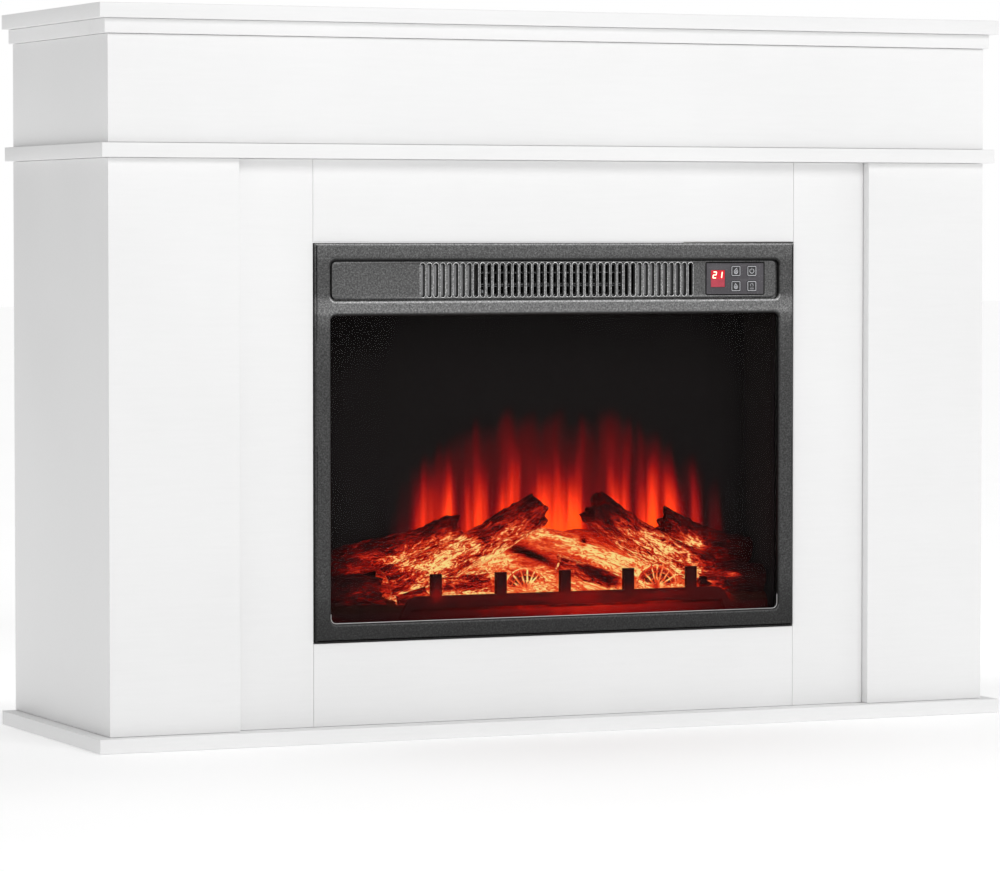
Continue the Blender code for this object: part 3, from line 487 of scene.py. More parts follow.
def sheet_mesh(name, across, along, columns, rows, point_at):
    """A sheet over two spans. point_at gives the place, the heat and the grain of each of its points."""
    bm = bmesh.new()
    heats, grains, grid = [], [], []
    for row in range(rows + 1):
        line = []
        for column in range(columns + 1):
            place, heat, grain = point_at(across[0] + (across[1] - across[0]) * column / columns,
                                          along[0] + (along[1] - along[0]) * row / rows)
            line.append(bm.verts.new(place))
            heats.append(heat)
            grains.append(grain)
        grid.append(line)
    for near, far in zip(grid, grid[1:]):
        for column in range(columns):
            bm.faces.new((near[column], near[column + 1], far[column + 1], far[column]))
    mesh = bpy.data.meshes.new(name)
    bm.to_mesh(mesh)
    bm.free()
    set_heat(mesh, heats, grains)
    return mesh


def joined(name, meshes, smooth_angle=0.7):
    """One mesh from several, with the attributes that they carry."""
    bm = bmesh.new()
    for mesh in meshes:
        bm.from_mesh(mesh)
    out = bpy.data.meshes.new(name)
    bm.to_mesh(out)
    bm.free()
    out.shade_smooth()
    if smooth_angle:
        out.set_sharp_from_angle(angle=smooth_angle)
    return out


# ---------------------------------------------------------------- mantel

BOARD_EASE = 0.0006
WHITE_BOARDS = ("top_board", "cornice_front_strip", "cornice_side_strip_left", "cornice_side_strip_right",
                "frieze_front", "frieze_side_left", "frieze_side_right", "mid_shelf_board", "pilaster_left",
                "pilaster_right", "stile_left", "stile_right", "header_panel", "apron_panel", "side_panel_left",
                "side_panel_right", "base_board", "back_rail_lower", "back_rail_upper")
RAW_BOARDS = ("inner_upright_left", "inner_upright_right", "insert_shelf")
PLAIN_LAYERS = ("top_board", "cornice_front_strip", "cornice_side_strip_left", "cornice_side_strip_right",
                "mid_shelf_board", "base_board")


def eased_board(node, material):
    """The same board with finely rounded arrises."""
    if node in PLAIN_LAYERS:
        mesh = box_mesh(node + "_board", *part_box(node), BOARD_EASE, 3)
    else:
        bm = bmesh.new()
        bm.from_mesh(NODES[node].data)
        bmesh.ops.remove_doubles(bm, verts=bm.verts, dist=0.00002)
        bmesh.ops.dissolve_limit(bm, angle_limit=0.02, verts=bm.verts, edges=bm.edges)
        ease_edges(bm, BOARD_EASE, 3)
        mesh = finish_mesh(node + "_board", bm)
    publish(node + "_board", mesh, material, stands_for=(node,))


def build_mantel():
    for node in WHITE_BOARDS:
        eased_board(node, WHITE)
    for node in RAW_BOARDS:
        eased_board(node, RAW)


# ---------------------------------------------------------------- insert front

# The window and the air channel in the front frame
WINDOW = (Vector((-0.2740, 0, 0.1280)), Vector((0.2740, 0, 0.4650)))
CHANNEL = (Vector((-0.2745, 0, 0.4815)), Vector((0.2745, 0, 0.5250)))
OPENING_CORNER = 0.0065
FRAME_CORNER = 0.0016
FRAME_FACE = 0.0080
FRAME_ROUND = 0.0030
FRAME_RETURN = 0.0060
BEAD_RADIUS = 0.00042
# The grille plate: half width, bottom, top and front
PLATE_HALF, PLATE_LOW, PLATE_HIGH, PLATE_FRONT = 0.2715, 0.4828, 0.5240, -0.1425
PLATE_SHEET = 0.0010
SLOT_COUNT = 42
SLOT_PITCH = 0.0080
SLOT_HALF_WIDTH = 0.0028
SLOT_HALF_HEIGHT = 0.0189
SLOT_Z = 0.5034
SLOT_CENTRES = [((index - (SLOT_COUNT - 1) / 2) * SLOT_PITCH, SLOT_Z) for index in range(SLOT_COUNT)]
FASCIA_FLANGE = 0.004
# The step in the outlet flange's mouth, the heater's wires and the screws beside them
MOUTH_LEFT, MOUTH_RIGHT, NOTCH_LEFT, NOTCH_RIGHT = -0.1040, 0.0960, -0.1065, 0.0985
MOUTH_LOW, MOUTH_STEP, MOUTH_HIGH = 0.4870, 0.4935, 0.5200
WIRE_Y, WIRE_ENDS, WIRE_HEIGHTS, WIRE_RADIUS = -0.1285, (-0.0920, 0.0860), (0.4965, 0.4985, 0.5112), 0.00035
OUTLET_SCREWS, OUTLET_SCREW_RADIUS = (-0.0893, 0.0770), 0.0022


def middle(node):
    low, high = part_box(node)
    return (low + high) / 2


def build_front_frame():
    low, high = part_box("front_frame")
    outlines = [span_outline(low, high, FRAME_CORNER, 4)]
    outlines += [span_outline(*opening, OPENING_CORNER, 10) for opening in (WINDOW, CHANNEL)]
    face = plate_mesh("frame_face", outlines, low.y, FRAME_FACE, FRAME_ROUND, 5)
    ring = [span_outline(low, high, FRAME_CORNER, 4, grow) for grow in (-0.0002, -0.003)]
    returns = plate_mesh("frame_returns", ring, low.y + FRAME_RETURN, high.y - low.y - FRAME_RETURN, 0.0002, 1)
    publish("front_frame_pressing", joined("front_frame_pressing", [face, returns]), CHARCOAL_PAINTED_LIGHT,
            stands_for=("front_frame",))
    publish("window_highlight_bead", window_highlight_bead(*WINDOW), HIGHLIGHT_BEAD)


def window_highlight_bead(low, high):
    """A bright metal bead along the bottom of the window and round its lower corners, put there for the highlight
    line on that edge: a painted highlight.
    """
    inset, corner, y = 0.0004, 0.0062, low.y - 0.1436
    left, right, bottom = low.x + inset, high.x - inset, low.z + inset
    points = [(left, y, bottom + corner + 0.004)]
    for centre_x, start in ((left + corner, 180), (right - corner, 270)):
        for step in range(9):
            angle = radians(start + 90 * step / 8)
            points.append((centre_x + corner * cos(angle), y, bottom + corner + corner * sin(angle)))
    points.append((right, y, bottom + corner + 0.010))
    return tube_mesh("window_highlight_bead", points, BEAD_RADIUS)


def slot_outlines(grow_x, grow_z, slack, steps=5):
    """The outline of every slot, grown by grow_x and grow_z on each side, with ends round to within slack."""
    half = SLOT_HALF_WIDTH + grow_x
    return [arc_outline(half, SLOT_HALF_HEIGHT + grow_z, half - slack, steps, centre) for centre in SLOT_CENTRES]


def build_grille():
    """The slotted plate over the air channel, with its folded edge and the black liner behind it, a near-black
    sheet that stands in for the shade inside the slots: painted shade.
    """
    plate = Vector((-PLATE_HALF, 0, PLATE_LOW)), Vector((PLATE_HALF, 0, PLATE_HIGH))
    outer = span_outline(*plate, 0.0055, 8)
    holes = slot_outlines(0.0, 0.0, 0.00002) + [span_outline(*fascia_face(), 0.0022, 4, 0.0014)]
    face = plate_mesh("grille_face", [outer] + holes, PLATE_FRONT, PLATE_SHEET, 0.0004, 2)
    # painted shade: the liner's openings are narrower than the slots, so black shows round each slot and in the gap
    # round the fascia
    liner = [span_outline(*plate, 0.004, 6, -0.0016)] + slot_outlines(-0.0013, -0.0016, 0.00002)
    liner.append(span_outline(*fascia_face(), 0.0012, 4, 0.0002))
    publish("grille_shade_liner", plate_mesh("grille_shade_liner", liner, PLATE_FRONT + 0.0011, 0.0005, 0.0001, 1), SHADE_LINER)
    inner = span_outline(*plate, 0.0045, 8, -0.0012)
    skirt = plate_mesh("grille_skirt", [outer, inner], PLATE_FRONT + PLATE_SHEET, 0.0042, 0.0002, 1)
    low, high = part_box("grille_plate")
    rim = plate_mesh("grille_rim", [span_outline(low, high, 0.001, 2), inner], high.y - 0.0012, 0.0012, 0.0002, 1)
    publish("grille_plate_pressing", joined("grille_plate_pressing", [face, skirt, rim]), GRILLE_COAT_PAINTED_LIGHT,
            stands_for=("grille_plate",))


def build_slot_lips():
    """A fine rolled lip round every slot, coloured several times lighter than the plate as a painted highlight."""
    pairs = zip(slot_outlines(0.0007, 0.0007, 0.0001), slot_outlines(-0.0001, -0.0001, 0.00002))
    lips = [plate_mesh("lip", pair, PLATE_FRONT - 0.0002, 0.0005, 0.0002, 1) for pair in pairs]
    publish("slot_lips", joined("slot_lips", lips), LIP_PAINTED_HIGHLIGHT)


def fascia_face():
    """The visible front of the control fascia, without the flange behind the grille plate."""
    low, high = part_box("control_fascia")
    return Vector((low.x + FASCIA_FLANGE, low.y, low.z)), Vector((high.x - FASCIA_FLANGE, high.y, high.z))


def build_heater_front():
    """What shows through the slots: the grey outlet flange, its screws and the heater's bars and wires."""
    low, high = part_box("outlet_flange")
    mouth = [(MOUTH_RIGHT, MOUTH_HIGH), (MOUTH_LEFT, MOUTH_HIGH), (MOUTH_LEFT, MOUTH_STEP),
             (NOTCH_LEFT, MOUTH_STEP), (NOTCH_LEFT, MOUTH_LOW), (NOTCH_RIGHT, MOUTH_LOW),
             (NOTCH_RIGHT, MOUTH_STEP), (MOUTH_RIGHT, MOUTH_STEP)]
    flange = plate_mesh("outlet_flange_sheet", [span_outline(low, high, 0.001, 3), mouth], low.y, high.y - low.y,
                        0.0001, 1)
    publish("outlet_flange_sheet", flange, BLOCKED_STEEL, stands_for=("outlet_flange",))
    wires = [tube_mesh("wire", [(x, WIRE_Y, height) for x in WIRE_ENDS], WIRE_RADIUS) for height in WIRE_HEIGHTS]
    wires += [cylinder_mesh("screw", (x, -0.1340, 0.4905), (x, -0.1300, 0.4905), OUTLET_SCREW_RADIUS)
              for x in OUTLET_SCREWS]
    publish("heater_wires", joined("heater_wires", wires), STEEL)


# ---------------------------------------------------------------- control panel

BUTTONS = ("button_flame", "button_power", "button_heat", "button_timer")
BUTTON_HOLE = 0.0061
KEY_STROKE, THIN_STROKE, DIGIT_STROKE = 0.00042, 0.0003, 0.00055
DIGIT_HEIGHT = 0.0068
# The segments of each digit shown, and the two ends of each segment
SEGMENTS = {"2": "abged", "1": "bc"}
SEGMENT_ENDS = {"a": ((-1, 1), (1, 1)), "b": ((1, 1), (1, 0)), "c": ((1, 0), (1, -1)), "d": ((-1, -1), (1, -1)),
                "e": ((-1, 0), (-1, -1)), "g": ((-1, 0), (1, 0))}


def ring_mesh(name, half, radius, line, front, centre):
    outer = arc_outline(half, half, radius, 6, centre)
    inner = arc_outline(half - line, half - line, max(radius - line, 0.0002), 6, centre)
    return plate_mesh(name, [outer, inner], front, 0.0003, 0.00004, 1)


def stroke(points, front, radius=KEY_STROKE):
    return tube_mesh("stroke", [(x, front, z) for x, z in points], radius, 6)


def arc_points(centre, radius, start, end, steps=16):
    return [(centre[0] + radius * cos(radians(start + (end - start) * i / steps)),
             centre[1] + radius * sin(radians(start + (end - start) * i / steps))) for i in range(steps + 1)]


def drop_points(centre, size, lean=0.0):
    """A flame or drop shape: round below, drawn to a point above."""
    points = []
    for i in range(25):
        t = i / 24 * 2 * pi
        pull = max(cos(t), 0.0) ** 3
        points.append((centre[0] + size * 0.62 * sin(t) * (1 - 0.75 * pull) + lean * pull * size,
                       centre[1] + size * (-0.25 + 0.62 * cos(t) + 0.55 * pull)))
    return points


def icon_strokes(kind, centre, front):
    """The printed sign on a button: a power ring, two flames or a clock over lines."""
    x, z = centre
    if kind == "button_power":
        return [stroke(arc_points(centre, 0.0026, 125, 415), front),
                stroke([(x, z + 0.0008), (x, z + 0.0034)], front)]
    if kind == "button_flame":
        return [stroke(drop_points(centre, 0.0036, 0.25), front),
                stroke(drop_points((x + 0.0003, z - 0.0009), 0.0017), front)]
    if kind == "button_heat":
        return [stroke(drop_points(centre, 0.0034, -0.2), front),
                stroke(arc_points((x, z - 0.0009), 0.0011, 0, 360), front)]
    lines = [arc_points((x, z + 0.0012), 0.0019, -60, 240), [(x, z + 0.0012), (x + 0.0009, z + 0.0019)]]
    lines += [[(x - 0.0026, z + offset - 0.0006), (x + 0.0026, z + offset - 0.0006)]
              for offset in (-0.0016, -0.0027)]
    return [stroke(line, front, THIN_STROKE) for line in lines]


def digit_strokes(digit, centre, height, front):
    """A seven-segment digit, leaning a little."""
    half_w, half_h = height * 0.27, height / 2
    meshes = []
    for letter in SEGMENTS[digit]:
        ends = [(centre[0] + sx * half_w + sz * half_h * 0.12, centre[1] + sz * half_h)
                for sx, sz in SEGMENT_ENDS[letter]]
        meshes.append(stroke(ends, front, DIGIT_STROKE))
    return meshes


def build_control_panel():
    """The fascia with its openings, the flange behind it, the display and the buttons."""
    face_box = fascia_face()
    low, high = face_box
    display_low, display_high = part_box("display_window")
    holes = [span_outline(display_low, display_high, 0.0008, 3, 0.0002)]
    places = {name: (middle(name).x, middle(name).z) for name in BUTTONS}
    holes += [arc_outline(BUTTON_HOLE, BUTTON_HOLE, 0.0018, 6, place) for place in places.values()]
    face = plate_mesh("fascia_face", [span_outline(*face_box, 0.0012, 4)] + holes, low.y, 0.0016, 0.00025, 2)
    centre = ((low.x + high.x) / 2, (low.z + high.z) / 2)
    wide = arc_outline((high.x - low.x) / 2 + FASCIA_FLANGE, (high.z - low.z) / 2, 0.001, 2, centre)
    flange = plate_mesh("fascia_back", [wide] + holes, high.y - 0.0012, 0.0012, 0.0001, 1)
    publish("control_fascia_cover", joined("control_fascia_cover", [face, flange]), PLASTIC,
            stands_for=("control_fascia",))
    build_display(display_low, display_high, low.y)
    for name, place in places.items():
        build_button(name, place)


def build_display(low, high, front):
    """The red window, its lit upper part and a two-digit number."""
    centre = ((low.x + high.x) / 2, (low.z + high.z) / 2)
    half_x, half_z = (high.x - low.x) / 2, (high.z - low.z) / 2
    window = plate_mesh("display_lens", [span_outline(low, high, 0.0006, 3)], front + 0.0004, 0.0025, 0.0002, 1)
    publish("display_lens", window, RED_WINDOW, stands_for=("display_window",))
    lit_half = half_z * 0.54
    lit_centre = (centre[0], centre[1] + half_z - lit_half)
    outline = arc_outline(half_x - 0.0002, lit_half, 0.0008, 3, lit_centre)
    lit = plate_mesh("display_lit_area", [outline], front + 0.0002, 0.0004, 0.0001, 1)
    publish("display_lit_area", lit, RED_HALO)
    digits = []
    for digit, shift in (("2", -0.0042), ("1", 0.0030)):
        digits += digit_strokes(digit, (centre[0] + shift, lit_centre[1] - 0.0002), DIGIT_HEIGHT, front + 0.0001)
    publish("display_digits", joined("display_digits", digits), DIGIT)


def build_button(name, centre):
    """A button's cap with its printed square and sign."""
    low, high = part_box(name)
    cap = plate_mesh(name + "_cap", [arc_outline((high.x - low.x) / 2, (high.z - low.z) / 2, 0.0016, 6, centre)],
                     low.y, high.y - low.y, 0.0003, 2)
    publish(name + "_cap", cap, BLACK_PLASTIC, name, stands_for=(name,))
    meshes = [ring_mesh(name + "_line", 0.0055, 0.0014, 0.0007, low.y - 0.00005, centre)]
    meshes += icon_strokes(name, centre, low.y + 0.0002)
    publish(name + "_print", joined(name + "_print", meshes), KEY_LINE, name)


# ---------------------------------------------------------------- fire

# Where the resin is lit most: x, z, reach along, reach across, tilt in degrees, strength
GLOWS = (
    (-0.058, 0.190, 0.022, 0.012, 25, 1.00), (-0.028, 0.166, 0.032, 0.017, 0, 0.90),
    (0.030, 0.206, 0.046, 0.009, -14, 0.95), (0.070, 0.187, 0.045, 0.010, -8, 0.95),
    (0.115, 0.177, 0.030, 0.010, -8, 0.85), (0.134, 0.162, 0.036, 0.016, 0, 0.90),
    (0.050, 0.160, 0.040, 0.012, 0, 0.75), (-0.160, 0.157, 0.024, 0.007, 8, 0.85),
    (-0.105, 0.172, 0.032, 0.008, 10, 0.60), (-0.100, 0.154, 0.036, 0.006, 0, 0.70),
    (-0.132, 0.196, 0.030, 0.011, 22, 0.95), (-0.170, 0.194, 0.013, 0.007, 20, 0.75),
    (-0.112, 0.215, 0.011, 0.007, 30, 0.60), (0.148, 0.203, 0.028, 0.009, -18, 0.95),
    (0.192, 0.203, 0.017, 0.006, -15, 0.80), (0.155, 0.196, 0.015, 0.004, -5, 0.50),
    (0.183, 0.166, 0.006, 0.012, 0, 0.70), (0.222, 0.167, 0.016, 0.005, -15, 0.50),
    (0.210, 0.150, 0.018, 0.004, -30, 0.45), (0.025, 0.185, 0.185, 0.055, 0, 0.46),
    (0.020, 0.207, 0.009, 0.003, -5, -0.70), (0.057, 0.204, 0.006, 0.005, 20, -0.80),
    (-0.010, 0.191, 0.028, 0.006, -25, -0.55), (0.050, 0.174, 0.038, 0.006, -25, -0.40))
GLOW_RATE = 1.6


def glow_at(x, z):
    """How strongly a place in the fire is lit from inside."""
    total = 0.0
    for centre_x, centre_z, along, across, tilt, strength in GLOWS:
        dx, dz = x - centre_x, z - centre_z
        c, s = cos(radians(tilt)), sin(radians(tilt))
        u, v = (dx * c + dz * s) / along, (dz * c - dx * s) / across
        total += strength * exp(-u * u - v * v)
    return 1.0 - exp(-GLOW_RATE * max(total, 0.0))


def set_heat(mesh, heats, grains):
    """Stores how hot each point is, and the stretched coordinates that its cracks follow."""
    heat = mesh.attributes.new("ember", "FLOAT", "POINT")
    heat.data.foreach_set("value", heats)
    grain = mesh.attributes.new("grain", "FLOAT_VECTOR", "POINT")
    grain.data.foreach_set("vector", [c for g in grains for c in g])


# Tongues of the flame: x, half width, height where they fade, lean of the tip, brightness
TONGUES = (
    (-0.155, 0.007, 0.258, 0.000, 0.22), (-0.126, 0.010, 0.278, 0.002, 0.74),
    (-0.099, 0.007, 0.284, 0.000, 0.95), (-0.072, 0.006, 0.276, 0.002, 0.80),
    (-0.060, 0.007, 0.284, 0.002, 0.97), (-0.032, 0.006, 0.271, 0.001, 0.90),
    (-0.022, 0.008, 0.291, 0.002, 0.93), (0.020, 0.011, 0.275, 0.000, 0.98), (0.038, 0.013, 0.278, 0.000, 1.00),
    (0.056, 0.011, 0.277, 0.000, 1.00), (0.090, 0.005, 0.294, -0.002, 0.42), (0.110, 0.007, 0.278, -0.003, 0.98),
    (0.119, 0.006, 0.269, 0.002, 0.84), (0.144, 0.006, 0.272, 0.001, 0.72), (0.158, 0.007, 0.292, 0.003, 0.97),
    (0.182, 0.009, 0.281, -0.003, 0.86), (0.212, 0.005, 0.278, 0.000, 0.60), (0.238, 0.006, 0.267, 0.000, 0.26))
TONGUE_FOOT, TONGUE_FADE, TONGUE_SPAN = 0.215, 0.012, 0.04
HAZE_CENTRE, HAZE_REACH, HAZE_BASE, HAZE_RISE, HAZE_FADE = 0.035, 0.225, 0.238, 0.128, 0.034
HAZE_LEVEL = 0.36


def flame_heat(x, z):
    """The flames thrown on the screen: soft upright tongues under a dome of dim red haze."""
    side = min(abs(x - HAZE_CENTRE) / HAZE_REACH, 1.0)
    dome = HAZE_BASE + HAZE_RISE * (1.0 - side * side) ** 0.6
    streak = noise.noise(Vector((x * 95, 2.3, z * 4)))
    haze = HAZE_LEVEL * (1.0 - exp(-max(dome + 0.014 * streak - z, 0.0) / HAZE_FADE)) * (1.0 + 0.30 * streak)
    haze *= 1.0 - 0.85 * side ** 3
    total = haze
    for centre, half, top, lean, strength in TONGUES:
        if abs(x - centre) > TONGUE_SPAN:
            continue
        rise = min((z - TONGUE_FOOT) / (top - TONGUE_FOOT), 1.6)
        risen = max(rise, 0.0)
        across = abs(x - centre - lean * risen) / (half * (1.55 - 0.36 * risen))
        tip = top + 0.012 * noise.noise(Vector((x * 120, 5.1, z * 8)))
        fade = 1.0 / (1.0 + exp((z - tip) / TONGUE_FADE))
        core = strength * (1.12 - 0.40 * risen)
        total = max(total, haze + (core - haze) * exp(-across ** 2.3) * fade)
    return total


def build_flame_screen():
    """The screen behind the logs, with the flames as heat on its points."""
    low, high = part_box("flame_screen")

    def point_at(x, z):
        wave = noise.noise(Vector((x * 30, 1.7, z * 14))) * 0.009
        ripple = 1.0 + 0.20 * noise.noise(Vector((x * 70, 4.2, z * 7)))
        ripple += 0.10 * noise.noise(Vector((x * 260, 8.2, z * 10)))
        place = (x, low.y, z)
        return place, flame_heat(x + wave * max(z - 0.20, 0.0) * 10, z) * ripple, place

    mesh = sheet_mesh("flame_screen_sheet", (low.x, high.x), (low.z, high.z), 360, 120, point_at)
    sheet = publish("flame_screen_sheet", mesh, SCREEN, stands_for=("flame_screen",))
    thicken(sheet, high.y - low.y, 1.0)


def thicken(ob, thickness, offset):
    """Gives a sheet its thickness."""
    thick = ob.modifiers.new("thickness", "SOLIDIFY")
    thick.thickness = thickness
    thick.offset = offset


BARK_SCALE = 120.0


def bark(place, seed, scale):
    """Height of bark at a point of the stretched grain space: long ridges broken by cross cracks."""
    long_ridge = noise.noise(Vector((place.x * 0.22, place.y, place.z)) * scale + Vector((seed, 0, 0)))
    fine = noise.noise(Vector((place.x * 0.5, place.y, place.z)) * scale * 2.7 + Vector((0, seed, 0)))
    cross = noise.noise(Vector((place.x, place.y * 0.4, place.z * 0.4)) * scale * 0.9 + Vector((0, 0, seed)))
    return (1.0 - abs(long_ridge) * 2.0) * 0.55 + fine * 0.35 + cross * 0.3


def log_mesh(name, path, radii, seed, heat_at, rough=0.0034, around=96, along=150, broken=0.012):
    """A charred log: a tube along a path with bark ridges, a broken near end and cracks that carry heat."""
    points = [Vector(p) for p in path]
    lengths = [0.0]
    for a, b in zip(points, points[1:]):
        lengths.append(lengths[-1] + (b - a).length)
    total = lengths[-1]

    def at(t):
        want = t * total
        i = 0
        while want > lengths[i + 1] and i < len(points) - 2:
            i += 1
        f = (want - lengths[i]) / (lengths[i + 1] - lengths[i])
        direction = (points[i + 1] - points[i]).normalized()
        return points[i].lerp(points[i + 1], f), direction, radii[i] + (radii[i + 1] - radii[i]) * f

    bm = bmesh.new()
    rings, heats, grains = [], [], []
    for i in range(along + 1):
        t = i / along
        centre, direction, radius = at(t)
        side = direction.cross(Vector((0, 0, 1))).normalized()
        up = side.cross(direction).normalized()
        ring = []
        for j in range(around):
            angle = 2 * pi * j / around
            radial = side * cos(angle) + up * sin(angle)
            grain = Vector((t * total, radius * cos(angle), radius * sin(angle)))
            height = bark(grain, seed, BARK_SCALE)
            end_jag = noise.noise(Vector((cos(angle) * 2.1, sin(angle) * 2.1, seed * 3.1)))
            shift = direction * (end_jag * broken * max((t - 0.9) / 0.1, 0.0))
            place = centre + radial * (radius + rough * height) + shift
            ring.append(bm.verts.new(place))
            heats.append(heat_at(place, radial, height, t))
            grains.append((t * total * 0.30 + seed, grain.y, grain.z))
        rings.append(ring)
    stitch(bm, rings)
    for ring, t in ((rings[0], 0.0), (rings[-1], 1.0)):
        cap_log_end(bm, ring, at(t), t, seed, heats, grains, total, heat_at)
    mesh = finish_mesh(name, bm, 2.6)
    set_heat(mesh, heats, grains)
    return mesh


def cap_log_end(bm, ring, frame_at, t, seed, heats, grains, total, heat_at):
    """Closes a log's end with a rough, slightly hollow break."""
    centre, direction, _ = frame_at
    sign = 1 if t > 0.5 else -1
    loops = [ring]
    for shrink in (0.86, 0.66, 0.44, 0.22):
        inner = []
        for vertex in ring:
            place = centre + (vertex.co - centre) * shrink
            grown = noise.noise(place * 260 + Vector((seed, 0, 0)))
            place += direction * sign * (0.0012 * grown + 0.0006 * sin(shrink * 40))
            inner.append(bm.verts.new(place))
            heats.append(heat_at(place, direction * sign, grown, t))
            grains.append((t * total * 0.3 + seed, place.x, place.z))
        loops.append(inner)
    stitch(bm, loops)
    bm.faces.new(loops[-1])


def log_heat(own, dark_end):
    """Heat on a log: what the fire gives it, less on the ridges and towards its charred end."""
    def heat_at(place, radial, height, t):
        top = 1.0 - 0.35 * max(radial.z, 0.0)
        ends = 1.0 - dark_end * max(0.0, (t - 0.70) / 0.30)
        corner = 0.30 + 0.70 / (1.0 + exp((abs(place.x + 0.010) - 0.240) / 0.010))
        return (own + 1.18 * glow_at(place.x, place.z)) * top * (1.15 - 0.5 * height) * ends * corner
    return heat_at


# The logs: points along each, radius at each point, own heat, how dark the far end is
LOGS = {
    "log_left_front": (
        ((-0.196, -0.106, 0.166), (-0.150, -0.104, 0.180), (-0.080, -0.102, 0.206), (-0.006, -0.100, 0.245)),
        (0.0175, 0.0185, 0.0185, 0.0180), 0.36, 0.45),
    "log_left_back": (
        ((-0.268, -0.076, 0.183), (-0.200, -0.076, 0.197), (-0.140, -0.076, 0.207), (-0.096, -0.076, 0.226)),
        (0.0150, 0.0160, 0.0160, 0.0150), 0.26, 0.45),
    "log_left_low": (
        ((-0.269, -0.106, 0.158), (-0.235, -0.106, 0.163), (-0.205, -0.104, 0.158)),
        (0.0150, 0.0165, 0.0150), 0.24, 0.2),
    "log_right_front": (
        ((0.205, -0.106, 0.172), (0.160, -0.104, 0.188), (0.110, -0.102, 0.213), (0.064, -0.100, 0.245)),
        (0.0160, 0.0175, 0.0185, 0.0185), 0.30, 0.45),
    "log_right_back": (
        ((0.270, -0.074, 0.190), (0.235, -0.074, 0.196), (0.200, -0.074, 0.207), (0.163, -0.074, 0.226)),
        (0.0140, 0.0150, 0.0155, 0.0150), 0.22, 0.45),
    "log_right_low": (
        ((0.270, -0.108, 0.160), (0.235, -0.107, 0.163), (0.200, -0.106, 0.160)),
        (0.0150, 0.0160, 0.0150), 0.20, 0.2),
}


def build_logs():
    for seed, (name, (path, radii, own, dark_end)) in enumerate(LOGS.items(), start=2):
        long_one = name.endswith("front")
        mesh = log_mesh(name + "_bark", path, radii, seed * 1.37, log_heat(own, dark_end),
                        around=128 if long_one else 96, along=230 if long_one else 150)
        publish(name + "_bark", mesh, LOG, stands_for=(name,))


BED_FRONT = 0.1370
TRAY_TOP = 0.1366


def bed_height(x, y):
    """Top of the ember bank: low at the front and the sides, heaped at the back in the middle, with a dip."""
    depth = min(max((y + 0.120) / 0.052, 0.0), 1.0)
    ridge = 0.148 + 0.074 * exp(-((x - 0.035) / 0.155) ** 2) - 0.006 * exp(-((x - 0.042) / 0.020) ** 2)
    return BED_FRONT + (ridge - BED_FRONT) * depth ** 0.40


# The grate's posts and its bar
POSTS = [-0.1420 + index * 0.0786 for index in range(5)]
POST_HALF = 0.0065
BAR_LOW, BAR_HIGH, POST_TOP = 0.1400, 0.1540, 0.1780


def bay_rim(x, z):
    """Light that gathers behind the grate, along its bar and up the sides of its posts."""
    side = min(abs(x - 0.003 - post - reach) for post in POSTS for reach in (-POST_HALF, POST_HALF))
    inside = 1.0 / (1.0 + exp(-(x + 0.175) / 0.006)) / (1.0 + exp((x - 0.190) / 0.006))
    bar = exp(-((z - BAR_HIGH) / 0.0032) ** 2)
    posts = exp(-(side / 0.0026) ** 2) * exp(-((z - 0.160) / 0.015) ** 2)
    return inside * max(1.12 * bar, 0.90 * posts)


def build_ember_bed():
    """The heaped bank of glowing resin and the tray that it stands in."""
    low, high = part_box("ember_bed")

    def point_at(x, y):
        z = bed_height(x, y)
        tilt = radians(-20 + 16 * noise.noise(Vector((x * 12, y * 12, 5.5))))
        along = x * cos(tilt) + z * sin(tilt)
        across = z * cos(tilt) - x * sin(tilt)
        ridge = 1.0 - 2.0 * abs(noise.noise(Vector((along * 30, across * 130, y * 90))))
        fine = noise.noise(Vector((along * 80, across * 330, y * 200)))
        rise = (0.0022 * ridge + 0.0009 * fine) * min(max((y - low.y) / 0.010, 0.1), 1.0)
        heat = max(1.32 * glow_at(x, z) * (0.84 + 0.22 * ridge), bay_rim(x, z))
        return (x, y, z + rise), heat, (along * 0.28, across, y)

    mesh = sheet_mesh("ember_bank", (low.x, high.x), (low.y, high.y), 520, 100, point_at)
    mesh.shade_smooth()
    bank = publish("ember_bank", mesh, EMBER, stands_for=("ember_bed",))
    thicken(bank, 0.002, -1.0)
    tray = box_mesh("ember_tray", (low.x, low.y - 0.0002, low.z), (high.x, low.y + 0.0020, TRAY_TOP), 0.0008, 3)
    warm_up(tray, tray_heat, 40)
    publish("ember_tray", tray, GRATE)


def tray_heat(place):
    """Dim red along the tray's front, with a brighter line on its upper arris."""
    along = exp(-((place.x - 0.02) / 0.19) ** 2)
    return 0.10 + 0.20 * along + 0.34 * along * exp(-((place.z - TRAY_TOP) / 0.0012) ** 2)


def warm_up(mesh, heat_of, cuts):
    """Gives a plain mesh the heat and grain attributes, after cutting it finely enough along X."""
    bm = bmesh.new()
    bm.from_mesh(mesh)
    low = min(v.co.x for v in bm.verts)
    high = max(v.co.x for v in bm.verts)
    for step in range(1, cuts):
        bmesh.ops.bisect_plane(bm, geom=bm.verts[:] + bm.edges[:] + bm.faces[:],
                               plane_co=(low + (high - low) * step / cuts, 0, 0), plane_no=(1, 0, 0))
    bm.to_mesh(mesh)
    bm.free()
    mesh.shade_smooth()
    mesh.set_sharp_from_angle(angle=0.7)
    set_heat(mesh, [heat_of(v.co) for v in mesh.vertices],
             [(v.co.x * 0.3, v.co.z, v.co.y) for v in mesh.vertices])


